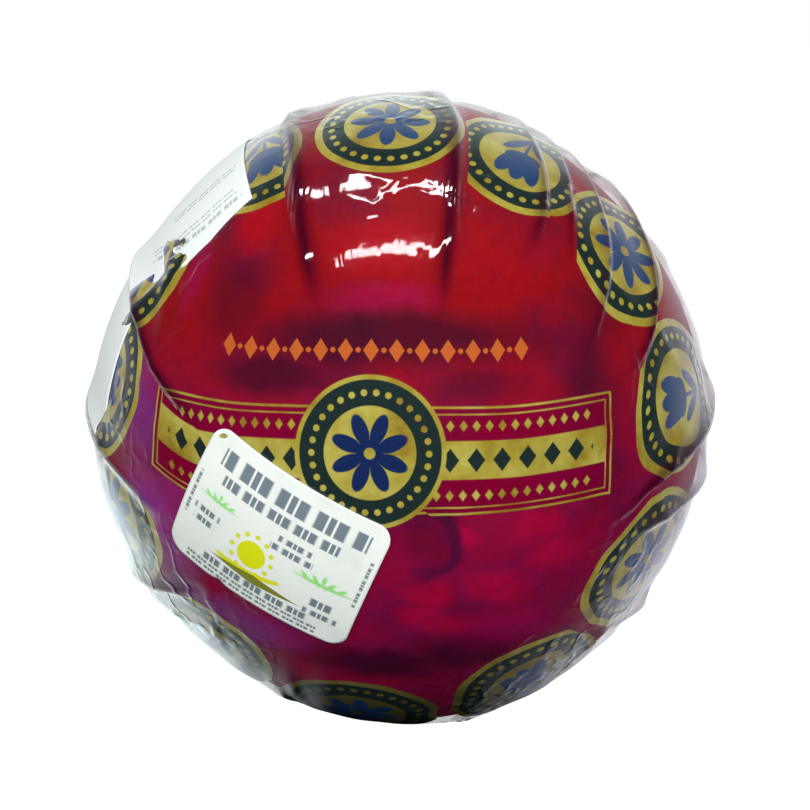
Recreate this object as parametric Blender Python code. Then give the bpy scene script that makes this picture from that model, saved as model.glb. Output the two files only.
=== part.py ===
"""A ball of cheese in a tight printed wrapper, lying on its side, with two paper labels on the wrapper.

The print faces -Y, the film is gathered in a stub at +Y, and the ball rests on a small flat spot at z = 0.
A place on the ball is a polar angle, 0 at the middle of the print and 180 at the stub, and an azimuth,
0 at +X and 90 at the top. Both are in degrees. All other sizes are in metres.
"""

import math
from typing import NamedTuple

import bpy
import numpy as np

# The ball: half of its width, depth and height, the mean radius for arcs, the flat spot that it rests on,
# and the least share of the radius that a ring near a pole counts as
HALF_WIDTH = 0.0712
HALF_DEPTH = 0.0690
HALF_HEIGHT = 0.0732
BALL_RADIUS = 0.0725
FLAT_RADIUS = 0.014
LEAST_RING = 0.02

# Slow swells of the ball: how high, how many round the rim, and the azimuth of one crest
SWELLS = ((0.0009, 4, 6.0), (0.0005, 3, 83.0))

# A pleat: how wide its steep side, the slope up to its ridge and the groove at its foot are,
# over how many degrees it rises, how much its line is rounded, and the most that its parts take near a pole
THIN_FLANK = 0.0016
BROAD_FLANK = 0.0032
LINE_ROUNDING = (-6.0, -3.0, 0.0, 3.0, 6.0)
RIDGE_WIDTH = 0.012
GROOVE_WIDTH = 0.005
GROOVE_SHARE = 0.35
RISE_ANGLE = 26.0
FLANK_LIMIT = 3.0
RIDGE_LIMIT = 8.0
GROOVE_LIMIT = 3.5

# Pleats of the hidden half: where they start, how high they are, the widest gap left without one,
# and the polar angles at which their lines are worked out
REAR_START = 100.0
REAR_HEIGHT = 0.0013
REAR_SPACING = 15.0
REAR_GAP = 20.0
REAR_LINE = np.arange(0.0, 181.0, 5.0)

# The gather behind: a dished ring of pleats round a short ruffled stub of film
DISH_RADIUS = 0.032
DISH_DEPTH = 0.0045
STUB_RADIUS = 0.0115
STUB_WALL = 0.0025
RUFFLES = 9
RUFFLE_SHARE = 0.10

# The grid: the rows' polar angles and how wide a column is at most
ROW_ANGLES = (*range(5, 30, 5), *range(30, 150, 4), *range(150, 165, 3),
              166, 168, 169.5, 171, 172.5, 174.5, 177)
COLUMN_STEP = 5.6

# Folds sharper than this stay sharp in the shading
SHARP_ANGLE = math.radians(40.0)

# The paper labels: how thick, and how far they stay off the film
LABEL_THICKNESS = 0.0005
LABEL_GAP = 0.00035

# The front sticker: its middle, how its long side turns from the direction of growing azimuth, and its size
STICKER_PLACE = (26.1, 223.6)
STICKER_TURN = -18.7
STICKER_WIDTH = 0.0479
STICKER_HEIGHT = 0.0359
STICKER_CORNER = 0.0042
STICKER_RINGS = (0.3, 0.55, 0.78, 1.0)
CORNER_STEPS = 5
SIDE_STEPS = 8

# The side label: its front edge as (azimuth, polar angle), its back edge, how far it stops short of a pleat,
# its grid, and how often the meeting of a column with the front edge is worked out anew
LABEL_FRONT_EDGE = ((120.0, 56.8), (133.0, 54.6), (141.0, 55.4), (148.0, 60.6), (156.4, 65.2),
                    (157.8, 62.8), (170.0, 63.2), (177.0, 63.9), (181.0, 68.0))
LABEL_BACK_POLAR = 97.0
LABEL_END_GAP = 2.5
LABEL_UPPER_COLUMNS = 8
LABEL_LOWER_COLUMNS = 6
LABEL_ROWS = 11
EDGE_PASSES = 8


class Pleat(NamedTuple):
    """A lapped fold of the film: its line as (polar angle, azimuth) points, the angle at which it starts,
    the height of its ridge, and the side that it falls to, 1 towards growing azimuth and -1 away from it."""

    line: tuple
    start: float
    height: float
    falls: int
    flank: float = THIN_FLANK

    def azimuth(self, polar):
        """Azimuth of the pleat's line at these polar angles, its corners rounded."""
        knots = np.array(self.line)
        near = [np.interp(polar + step, knots[:, 0], knots[:, 1]) for step in LINE_ROUNDING]
        return sum(near) / len(near)


# The pleats that start on the front, in order round the rim: up the right, over the top and down the left
LOWER_RIGHT = Pleat(line=((66, -45), (78, -41.4), (86, -38), (110, -35)),
                    start=66, height=0.0012, falls=-1)
RIGHT_UNDER = Pleat(line=((45, -31), (56, -22), (64, -19), (72, -15.9), (84, -12.5), (110, -9)),
                    start=56, height=0.0014, falls=-1)
RIGHT_DEEP = Pleat(line=((49, -23.9), (52, -18.4), (57, -11.4), (65, -7.0), (83, -1), (95, 3), (110, 6)),
                   start=46, height=0.0019, falls=-1)
SHOULDER_LONG = Pleat(line=((53, 12), (58.5, 16), (65, 21.5), (72, 26.6), (82, 36), (95, 46), (120, 52)),
                      start=50, height=0.0014, falls=-1)
SHOULDER_FAINT = Pleat(line=((40, 17.9), (47, 23.7), (53, 29.6), (62, 36), (75, 45), (90, 55), (120, 63)),
                       start=38, height=0.0006, falls=-1)
RIGHT_SEAM = Pleat(line=((50, 38), (55, 42), (61, 47), (70, 51.7), (90, 60), (110, 67)),
                   start=50, height=0.0007, falls=-1)
UPPER_RIGHT = Pleat(line=((45.6, 50.7), (52, 50.5), (58, 52.8), (73.5, 59.4), (80.5, 63), (110, 73)),
                    start=43, height=0.0008, falls=-1)
TOP_RIGHT = Pleat(line=((25, 58.4), (30, 62.4), (41.4, 68.8), (54, 72.6), (66, 75), (100, 84)),
                  start=24, height=0.0013, falls=-1, flank=BROAD_FLANK)
TOP_LEFT = Pleat(line=((27, 115.3), (44, 112.2), (61, 110.4), (74, 111.1), (110, 113)),
                 start=24, height=0.0011, falls=1, flank=BROAD_FLANK)
LEFT_LONG = Pleat(line=((32, 177), (41, 169), (47, 165.3), (53.4, 161.5), (60, 157), (80, 151), (110, 147)),
                  start=30, height=0.0012, falls=1)
LEFT_DEEP = Pleat(line=((45.7, 200), (50.5, 197.2), (56, 192), (64.4, 186.1), (80, 180), (110, 173)),
                  start=44, height=0.0016, falls=1, flank=BROAD_FLANK)
LEFT_NOTCH = Pleat(line=((43.4, 223), (56.5, 218.2), (62, 215.7), (78, 210.4), (110, 204)),
                   start=45, height=0.0015, falls=1)
LEFT_UNDER = Pleat(line=((58.5, 231.2), (60.6, 227.5), (64.3, 222.6), (70, 219), (85, 216.5), (110, 216)),
                   start=57, height=0.0008, falls=1)
LOWER_LEFT = Pleat(line=((60, 250), (110, 244)),
                   start=66, height=0.0009, falls=1)
BOTTOM = Pleat(line=((62, 281), (110, 286)),
               start=68, height=0.0013, falls=-1)
FRONT_PLEATS = (LOWER_RIGHT, RIGHT_UNDER, RIGHT_DEEP, SHOULDER_LONG, SHOULDER_FAINT, RIGHT_SEAM, UPPER_RIGHT,
                TOP_RIGHT, TOP_LEFT, LEFT_LONG, LEFT_DEEP, LEFT_NOTCH, LEFT_UNDER, LOWER_LEFT, BOTTOM)


def smooth_step(value, start, end):
    """0 before start, 1 after end, and a smooth rise between."""
    share = np.clip((value - start) / (end - start), 0.0, 1.0)
    return share * share * (3.0 - 2.0 * share)


def turned(pleat, degrees):
    """The same pleat with its azimuths written that much higher, for sums across 360 degrees."""
    return pleat._replace(line=tuple((polar, azimuth + degrees) for polar, azimuth in pleat.line))


def rear_pleat(before, after, share):
    """A pleat of the hidden half, always at the same share of the way between two others."""
    azimuth = (1.0 - share) * before.azimuth(REAR_LINE) + share * after.azimuth(REAR_LINE)
    return Pleat(tuple(zip(REAR_LINE, azimuth)), REAR_START, REAR_HEIGHT, before.falls)


def all_pleats():
    """Every pleat in order round the rim: those of the front, and rear ones in each wide gap between them."""
    pleats = []
    followers = (*FRONT_PLEATS[1:], turned(FRONT_PLEATS[0], 360.0))
    for pleat, follower in zip(FRONT_PLEATS, followers):
        pleats.append(pleat)
        gap = float(follower.azimuth(90.0) - pleat.azimuth(90.0))
        if gap > REAR_GAP:
            added = round(gap / REAR_SPACING) - 1
            pleats += [rear_pleat(pleat, follower, (k + 1) / (added + 1)) for k in range(added)]
    return pleats


def ring_radius(polar):
    """Radius of the ball's section at these polar angles, never quite nothing at the poles."""
    return BALL_RADIUS * np.maximum(np.sin(np.radians(polar)), LEAST_RING)


def angle_of(width, polar, limit):
    """The azimuth angle that a width takes at these polar angles, up to a limit near the poles."""
    return np.minimum(np.degrees(width / ring_radius(polar)), limit)


def pleat_height(pleat, polar, azimuth):
    """How far one pleat lifts the film: a slope up to its ridge, a steep side and a groove at its foot."""
    past = pleat.falls * ((azimuth - pleat.azimuth(polar) + 180.0) % 360.0 - 180.0)
    half = angle_of(pleat.flank, polar, FLANK_LIMIT) / 2.0
    slope = np.clip(1.0 + (past + half) / angle_of(RIDGE_WIDTH, polar, RIDGE_LIMIT), 0.0, 1.0) ** 2
    groove = np.clip(1.0 - (past - half) / angle_of(GROOVE_WIDTH, polar, GROOVE_LIMIT), 0.0, 1.0)
    side = 1.0 - (1.0 + GROOVE_SHARE) * (past + half) / (2.0 * half)
    profile = np.where(past < -half, slope, np.where(past > half, -GROOVE_SHARE * groove, side))
    return pleat.height * smooth_step(polar, pleat.start, pleat.start + RISE_ANGLE) * profile


def swell_height(polar, azimuth):
    """The ball's own slow swells, strongest round the rim."""
    waves = sum(high * np.cos(np.radians(count * (azimuth - crest))) for high, count, crest in SWELLS)
    return waves * np.sin(np.radians(polar)) ** 2


def gather_height(polar, azimuth):
    """The dished gather and the stub that stands in it, as wide as its ruffles make it."""
    reach = BALL_RADIUS * np.radians(180.0 - polar)
    foot = STUB_RADIUS * (1.0 + RUFFLE_SHARE * np.cos(np.radians(RUFFLES * azimuth)))
    dish = DISH_DEPTH * (1.0 - smooth_step(reach, STUB_RADIUS, DISH_RADIUS))
    stub = DISH_DEPTH * (1.0 - smooth_step(reach, foot - STUB_WALL, foot))
    return stub - dish


def film_height(polar, azimuth, pleats):
    """How far the film stands off the smooth ball, with its pleats ending at the stub."""
    reach = BALL_RADIUS * np.radians(180.0 - polar)
    pleated = sum(pleat_height(pleat, polar, azimuth) for pleat in pleats)
    ending = smooth_step(reach, STUB_RADIUS - STUB_WALL, STUB_RADIUS + STUB_WALL)
    return pleated * ending + swell_height(polar, azimuth) + gather_height(polar, azimuth)


def rest_height():
    """Height of the ball's middle, which leaves a flat spot of FLAT_RADIUS where the floor cuts the ball."""
    return HALF_HEIGHT * math.sqrt(1.0 - (FLAT_RADIUS / HALF_WIDTH) ** 2)


def direction(polar, azimuth):
    """Unit vector from the ball's middle towards a place on it."""
    polar, azimuth = np.radians(polar), np.radians(azimuth)
    ring = np.sin(polar)
    return np.stack((ring * np.cos(azimuth), -np.cos(polar), ring * np.sin(azimuth)), axis=-1)


def ball_points(polar, azimuth, height):
    """Points at a height off the smooth ball, along its normals, and none below the floor."""
    unit = direction(polar, azimuth)
    halves = np.array((HALF_WIDTH, HALF_DEPTH, HALF_HEIGHT))
    normal = unit / halves
    normal /= np.linalg.norm(normal, axis=-1, keepdims=True)
    points = unit * halves + normal * height[..., None] + np.array((0.0, 0.0, rest_height()))
    points[..., 2] = np.maximum(points[..., 2], 0.0)
    return points


def pleat_edges(pleat, polar):
    """The azimuths of both edges of a pleat's steep side."""
    half = angle_of(pleat.flank, polar, FLANK_LIMIT) / 2.0
    middle = pleat.azimuth(polar)
    return middle - half, middle + half


def spread(first, last, count):
    """Azimuth columns evenly between two others, without them."""
    return [first + (last - first) * (k + 1) / (count + 1) for k in range(count)]


def ball_columns(polar, pleats):
    """Azimuths of the grid's columns, along both edges of every pleat and evenly between."""
    columns = []
    for pleat, follower in zip(pleats, (*pleats[1:], turned(pleats[0], 360.0))):
        near, far = pleat_edges(pleat, polar)
        following = pleat_edges(follower, polar)[0]
        gap = float(follower.azimuth(90.0) - pleat.azimuth(90.0))
        columns += [near, far, *spread(far, following, max(1, round(gap / COLUMN_STEP) - 1))]
    return np.stack(columns, axis=-1)


def closed_ring_faces(rows, columns):
    """Quads between neighbouring closed rings of points, outwards for rings that run from front to back."""
    row, column = np.meshgrid(np.arange(rows - 1), np.arange(columns), indexing="ij")
    following = (column + 1) % columns
    quads = (row * columns + column, (row + 1) * columns + column,
             (row + 1) * columns + following, row * columns + following)
    return np.stack(quads, axis=-1).reshape(-1, 4).tolist()


def fan_faces(tip, ring):
    """Triangles from a tip to each side of a closed ring of point numbers."""
    return [(tip, here, there) for here, there in zip(ring, ring[1:] + ring[:1])]


def ball_mesh(pleats):
    """Points and faces of the wrapped ball: closed rings from the print to the stub, and a tip at each end."""
    rows = np.array(ROW_ANGLES, dtype=float)
    azimuth = ball_columns(rows, pleats)
    polar = np.broadcast_to(rows[:, None], azimuth.shape)
    rings = ball_points(polar, azimuth, film_height(polar, azimuth, pleats)).reshape(-1, 3)
    ends = np.array((0.0, 180.0))
    tips = ball_points(ends, np.zeros(2), np.zeros(2))
    row_count, column_count = azimuth.shape
    front, back = len(rings), len(rings) + 1
    first = list(range(column_count))
    last = [(row_count - 1) * column_count + k for k in first]
    faces = closed_ring_faces(row_count, column_count)
    faces += fan_faces(front, first) + fan_faces(back, last[::-1])
    return np.concatenate((rings, tips)), faces


def rotated(across, along, angle):
    """A flat point turned by an angle in radians."""
    cosine, sine = math.cos(angle), math.sin(angle)
    return across * cosine - along * sine, across * sine + along * cosine


def rounded_outline(width, height, corner):
    """A rounded rectangle about the origin, anticlockwise: straight sides in steps and corners as arcs."""
    outline = []
    for turn in range(4):
        start = math.radians(90.0 * turn)
        reach, rise = (width / 2, height / 2) if turn % 2 == 0 else (height / 2, width / 2)
        for k in range(1, SIDE_STEPS):
            across = (rise - corner) * (2 * k / SIDE_STEPS - 1)
            outline.append(rotated(reach, across, start))
        for k in range(CORNER_STEPS + 1):
            angle = math.radians(90.0 * k / CORNER_STEPS)
            arc = (reach - corner + corner * math.cos(angle), rise - corner + corner * math.sin(angle))
            outline.append(rotated(*arc, start))
    return np.array(outline)


def wrapped_place(flat, place, turn):
    """Polar angles and azimuths of flat points that are laid round the ball, middle at place."""
    middle = direction(*place)
    growing = direction(90.0, place[1] + 90.0)
    outward = np.cross(growing, middle)
    angle = math.radians(turn)
    along = growing * math.cos(angle) + outward * math.sin(angle)
    up = np.cross(middle, along)
    reach = np.linalg.norm(flat, axis=-1, keepdims=True)
    heading = (flat[..., :1] * along + flat[..., 1:] * up) / np.maximum(reach, 1e-9)
    bend = reach / BALL_RADIUS
    unit = middle * np.cos(bend) + heading * np.sin(bend)
    polar = np.arccos(np.clip(-unit[..., 1], -1.0, 1.0))
    return np.degrees(polar), np.degrees(np.arctan2(unit[..., 2], unit[..., 0]))


def sticker_mesh(pleats):
    """Points and faces of the front sticker: rings out to a rounded rectangle, on both faces of the paper."""
    outline = rounded_outline(STICKER_WIDTH, STICKER_HEIGHT, STICKER_CORNER)
    flat = np.concatenate([outline * share for share in STICKER_RINGS] + [np.zeros((1, 2))])
    polar, azimuth = wrapped_place(flat, STICKER_PLACE, STICKER_TURN)
    film = film_height(polar, azimuth, pleats) + LABEL_GAP
    outer = ball_points(polar, azimuth, film + LABEL_THICKNESS)
    inner = ball_points(polar, azimuth, film)
    count, sides, rings = len(flat), len(outline), len(STICKER_RINGS)
    first = list(range(sides))
    top = [tuple(face) for face in closed_ring_faces(rings, sides)] + fan_faces(count - 1, first)
    rim = [(rings - 1) * sides + k for k in first]
    return np.concatenate((outer, inner)), slab_faces(top, rim, count)


def slab_faces(top, rim, count):
    """Faces of a thin slab: its top, the same below turned over, and a wall along the rim's point numbers."""
    below = [tuple(count + k for k in face[::-1]) for face in top]
    wall = [(there, here, count + here, count + there) for here, there in zip(rim, rim[1:] + rim[:1])]
    return top + below + wall


def label_columns(polar):
    """Azimuths of the side label's columns: down to a pleat, across it, and on to just short of the next."""
    near, far = pleat_edges(LEFT_LONG, polar)
    start = np.full_like(polar, LABEL_FRONT_EDGE[0][0])
    end = LEFT_DEEP.azimuth(polar) - LABEL_END_GAP
    upper = [start, *spread(start, near, LABEL_UPPER_COLUMNS), near]
    return upper + [far, *spread(far, end, LABEL_LOWER_COLUMNS), end]


def label_front(column):
    """The polar angle at which one of the side label's columns meets its front edge."""
    edge = np.array(LABEL_FRONT_EDGE)
    polar = edge[:1, 1]
    for _ in range(EDGE_PASSES):
        polar = np.interp(label_columns(polar)[column], edge[:, 0], edge[:, 1])
    return float(polar[0])


def label_mesh(pleats):
    """Points and faces of the side label, a slab on a grid that follows the film over the pleat below it."""
    count = LABEL_UPPER_COLUMNS + LABEL_LOWER_COLUMNS + 4
    share = np.linspace(0.0, 1.0, LABEL_ROWS)
    fronts = np.array([label_front(column) for column in range(count)])
    polar = fronts + (LABEL_BACK_POLAR - fronts) * share[:, None]
    azimuth = np.stack([label_columns(polar[:, column])[column] for column in range(count)], axis=-1)
    film = film_height(polar, azimuth, pleats) + LABEL_GAP
    outer = ball_points(polar, azimuth, film + LABEL_THICKNESS).reshape(-1, 3)
    inner = ball_points(polar, azimuth, film).reshape(-1, 3)
    number = np.arange(LABEL_ROWS * count).reshape(LABEL_ROWS, count)
    corners = (number[:-1, :-1], number[1:, :-1], number[1:, 1:], number[:-1, 1:])
    top = [tuple(face) for face in np.stack(corners, axis=-1).reshape(-1, 4).tolist()]
    rim = [*number[0, :-1], *number[:-1, -1], *number[-1, :0:-1], *number[:0:-1, 0]]
    rim = [int(k) for k in rim][::-1]
    return np.concatenate((outer, inner)), slab_faces(top, rim, number.size)


def finish(name, colour, roughness, coat=0.0):
    """A plain Principled material."""
    material = bpy.data.materials.new(name)
    material.use_nodes = True
    shader = material.node_tree.nodes["Principled BSDF"]
    shader.inputs["Base Color"].default_value = (*colour, 1.0)
    shader.inputs["Roughness"].default_value = roughness
    shader.inputs["Coat Weight"].default_value = coat
    return material


def add_piece(name, points, faces, material):
    """An object of these points and faces, shaded smooth with its folds left sharp."""
    mesh = bpy.data.meshes.new(name)
    mesh.from_pydata(points.tolist(), [], faces)
    mesh.shade_smooth()
    mesh.set_sharp_from_angle(angle=SHARP_ANGLE)
    mesh.materials.append(material)
    piece = bpy.data.objects.new(name, mesh)
    bpy.context.scene.collection.objects.link(piece)
    return piece


def main():
    """Clears the scene and makes the wrapped ball and its two labels."""
    for piece in list(bpy.data.objects):
        bpy.data.objects.remove(piece)
    pleats = all_pleats()
    add_piece("wrapped_ball", *ball_mesh(pleats), finish("red_film", (0.30, 0.004, 0.03), 0.2, coat=1.0))
    add_piece("front_sticker", *sticker_mesh(pleats), finish("sticker_paper", (0.80, 0.86, 0.85), 0.4))
    add_piece("side_label", *label_mesh(pleats), finish("label_paper", (0.78, 0.84, 0.83), 0.5))


main()
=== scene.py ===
"""The looks of a ball of cheese: a waxed ball in a tight printed film, with a sticker and a paper label.

A place on the ball is a polar angle, 0 at the middle of the print and 180 at the gathered stub, and an
azimuth, 0 at +X and 90 at the top, both in degrees. A flat place, on the film or on a label, is in
millimetres, x to the right and y up as the print is read. All other sizes are in metres.
"""

import logging
import math
import operator
from dataclasses import dataclass, field
from functools import reduce
from enum import Enum
from typing import Any

import bpy
import numpy as np
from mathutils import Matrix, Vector


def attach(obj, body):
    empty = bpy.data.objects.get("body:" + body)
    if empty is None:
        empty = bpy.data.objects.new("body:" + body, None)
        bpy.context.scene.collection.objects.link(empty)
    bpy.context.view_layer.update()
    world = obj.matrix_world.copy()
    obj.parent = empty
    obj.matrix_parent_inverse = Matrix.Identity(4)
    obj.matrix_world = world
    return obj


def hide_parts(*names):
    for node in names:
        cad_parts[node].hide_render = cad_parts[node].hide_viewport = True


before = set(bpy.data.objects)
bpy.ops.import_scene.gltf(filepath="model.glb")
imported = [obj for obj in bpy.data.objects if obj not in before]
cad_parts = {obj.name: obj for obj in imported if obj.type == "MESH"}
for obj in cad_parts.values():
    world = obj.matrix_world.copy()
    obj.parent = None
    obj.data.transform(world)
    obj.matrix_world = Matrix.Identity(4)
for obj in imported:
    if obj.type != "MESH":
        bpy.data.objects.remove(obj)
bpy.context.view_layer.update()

LOG = logging.getLogger("ball_of_cheese")
MILLIMETRE = 0.001
FULL_TURN = 2.0 * math.pi

Colour = tuple[float, float, float]


def smooth_step(value: np.ndarray, start: Any, end: Any) -> np.ndarray:
    """0 before start, 1 after end, and between them three squares less two cubes of the share."""
    share = np.clip((value - start) / (end - start), 0.0, 1.0)
    return share * share * (3.0 - 2.0 * share)


def bell(distance: np.ndarray, width: Any) -> np.ndarray:
    """A bell curve, 1 at no distance: e to the minus square of distance over width."""
    return np.exp(-np.square(distance / width))


@dataclass(frozen=True)
class BallForm:
    """The ball's own form: an ellipsoid with slow swells, cut flat where it rests on the floor."""

    half_width: float = 0.0712
    half_depth: float = 0.0690
    half_height: float = 0.0732
    mean_radius: float = 0.0725
    flat_radius: float = 0.014
    least_ring: float = 0.02
    swells: tuple[tuple[float, int, float], ...] = ((0.0009, 4, 6.0), (0.0005, 3, 83.0))

    def rest_height(self) -> float:
        """Height of the ball's middle, which leaves the flat spot where the floor cuts the ball."""
        return self.half_height * math.sqrt(1.0 - (self.flat_radius / self.half_width) ** 2)

    def ring_radius(self, polar: np.ndarray) -> np.ndarray:
        """Radius of the ball's section at these polar angles, never quite nothing at the poles."""
        return self.mean_radius * np.maximum(np.sin(np.radians(polar)), self.least_ring)

    def angle_of(self, width: float, polar: np.ndarray, limit: float) -> np.ndarray:
        """The azimuth angle that a width takes at these polar angles, up to a limit near the poles."""
        return np.minimum(np.degrees(width / self.ring_radius(polar)), limit)

    def from_stub(self, polar: np.ndarray) -> np.ndarray:
        """Distance over the ball from the middle of the stub."""
        return self.mean_radius * np.radians(180.0 - polar)

    def swell(self, polar: np.ndarray, azimuth: np.ndarray) -> np.ndarray:
        """Slow swells: cosine waves round the rim, times the square of the sine of the polar angle."""
        waves = [high * np.cos(np.radians(count * (azimuth - crest))) for high, count, crest in self.swells]
        return sum(waves) * np.sin(np.radians(polar)) ** 2

    def points(self, polar: np.ndarray, azimuth: np.ndarray, height: np.ndarray,
               floor: float = 0.0) -> np.ndarray:
        """Points at a height off the smooth ball.

        The ellipsoid's point for a direction, plus its normal times the height, raised to the floor.

        Args:
            polar: Polar angles in degrees.
            azimuth: Azimuths in degrees, of the same shape.
            height: Distance along the normal.
            floor: The least height above the ground.

        Returns:
            An array of the same shape with x, y and z as its last axis.
        """
        unit = direction(polar, azimuth)
        halves = np.array((self.half_width, self.half_depth, self.half_height))
        normal = unit / halves
        normal /= np.linalg.norm(normal, axis=-1, keepdims=True)
        points = unit * halves + normal * np.asarray(height)[..., None]
        points = points + np.array((0.0, 0.0, self.rest_height()))
        points[..., 2] = np.maximum(points[..., 2], floor)
        return points


def direction(polar: np.ndarray, azimuth: np.ndarray) -> np.ndarray:
    """Unit vector towards a place: (sin p cos a, minus cos p, sin p sin a)."""
    polar, azimuth = np.radians(polar), np.radians(azimuth)
    ring = np.sin(polar)
    return np.stack((ring * np.cos(azimuth), -np.cos(polar), ring * np.sin(azimuth)), axis=-1)


def wrapped_place(flat: np.ndarray, place: tuple[float, float], turn: float, radius: float) -> tuple:
    """Lays flat points round the ball.

    A point goes its own distance along the great circle that leaves the place in the point's direction.

    Args:
        flat: Flat points in metres, x and y as the last axis.
        place: Polar angle and azimuth at which the flat origin lies.
        turn: How far flat x turns from the direction of growing azimuth, in degrees.
        radius: The ball's mean radius.

    Returns:
        Their polar angles and azimuths.
    """
    middle = direction(np.array(place[0]), np.array(place[1]))
    growing = direction(np.array(90.0), np.array(place[1] + 90.0))
    outward = np.cross(growing, middle)
    angle = math.radians(turn)
    along = growing * math.cos(angle) + outward * math.sin(angle)
    upward = np.cross(middle, along)
    reach = np.linalg.norm(flat, axis=-1, keepdims=True)
    heading = (flat[..., :1] * along + flat[..., 1:] * upward) / np.maximum(reach, 1e-9)
    unit = middle * np.cos(reach / radius) + heading * np.sin(reach / radius)
    polar = np.degrees(np.arccos(np.clip(-unit[..., 1], -1.0, 1.0)))
    return polar, np.degrees(np.arctan2(unit[..., 2], unit[..., 0]))


class Falls(Enum):
    """The side to which a pleat's steep flank falls."""

    ONWARD = 1
    BACK = -1


@dataclass(frozen=True)
class Pleat:
    """A fold of the film laid over itself: a slope up to a ridge, a steep flank and a groove at its foot.

    Its line is a list of (polar angle, azimuth) points, start is where it begins to rise, swallowed is how
    many degrees of the print it hides at the ring of discs, and lap is half the width of its dark band,
    partly its doubled layers and partly shade painted on the ridge's slope.
    """

    line: tuple[tuple[float, float], ...]
    start: float
    height: float
    falls: Falls
    flank: float = 0.0016
    swallowed: float = 0.0
    lap_and_shade: float = 0.0014

    rounding = (-6.0, -3.0, 0.0, 3.0, 6.0)
    ridge_width = 0.012
    groove_width = 0.005
    groove_share = 0.35
    rise = 26.0
    lip_width = 0.0007
    lip_share = 0.07
    flank_limit, ridge_limit, groove_limit = 3.0, 8.0, 3.5
    full_shade_height = 0.0010

    def azimuth(self, polar: Any) -> Any:
        """Azimuth of the line: the mean of five points about each polar angle, which rounds its corners."""
        knots = np.array(self.line)
        near = [np.interp(polar + step, knots[:, 0], knots[:, 1]) for step in self.rounding]
        return sum(near) / len(near)

    def turned(self, degrees: float) -> "Pleat":
        """The same pleat with its azimuths written that much higher, for sums across a full turn."""
        line = tuple((polar, azimuth + degrees) for polar, azimuth in self.line)
        return Pleat(line, self.start, self.height, self.falls, self.flank, self.swallowed, self.lap_and_shade)

    def edges(self, polar: np.ndarray, form: BallForm) -> tuple[np.ndarray, np.ndarray]:
        """The azimuths of both edges of the steep flank."""
        half = form.angle_of(self.flank, polar, self.flank_limit) / 2.0
        middle = self.azimuth(polar)
        return middle - half, middle + half

    def rising(self, polar: np.ndarray) -> np.ndarray:
        """The share of its full height that the pleat has at these polar angles."""
        return smooth_step(polar, self.start, self.start + self.rise)

    def shade(self, polar: np.ndarray, azimuth: np.ndarray, form: BallForm) -> np.ndarray:
        """How its layers and painted shade darken the film: a bell curve on the ridge's slope, as it rises.
        """
        distance = np.radians(self.past(polar, azimuth)) * form.ring_radius(polar) + self.lap_and_shade
        deep = np.clip(self.height / self.full_shade_height, 0.0, 1.0)
        return deep * smooth_step(polar, self.start, self.start + self.rise / 2.0) * bell(distance, self.lap_and_shade)

    def past(self, polar: np.ndarray, azimuth: np.ndarray) -> np.ndarray:
        """How many degrees a place lies past the line, on the side to which the steep flank falls."""
        return self.falls.value * ((azimuth - self.azimuth(polar) + 180.0) % 360.0 - 180.0)

    def lift(self, polar: np.ndarray, azimuth: np.ndarray, form: BallForm) -> np.ndarray:
        """How far the pleat lifts the film.

        Across the line: the square of a straight slope up to the ridge, a straight fall to below the film's
        own level, and a straight climb out of the groove, with a thin lip, a bell curve, along the ridge.

        Args:
            polar: Polar angles in degrees.
            azimuth: Azimuths in degrees, of the same shape.
            form: The ball that the film lies on.

        Returns:
            Heights, of the same shape.
        """
        past = self.past(polar, azimuth)
        half = form.angle_of(self.flank, polar, self.flank_limit) / 2.0
        ridge = form.angle_of(self.ridge_width, polar, self.ridge_limit)
        slope = np.clip(1.0 + (past + half) / ridge, 0, 1) ** 2
        foot = form.angle_of(self.groove_width, polar, self.groove_limit)
        groove = np.clip(1.0 - (past - half) / foot, 0, 1)
        side = 1.0 - (1.0 + self.groove_share) * (past + half) / (2.0 * half)
        profile = np.where(past < -half, slope, np.where(past > half, -self.groove_share * groove, side))
        lip = self.lip_share * bell(past + half, form.angle_of(self.lip_width, polar, self.flank_limit))
        return self.height * self.rising(polar) * (profile + lip)


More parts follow.
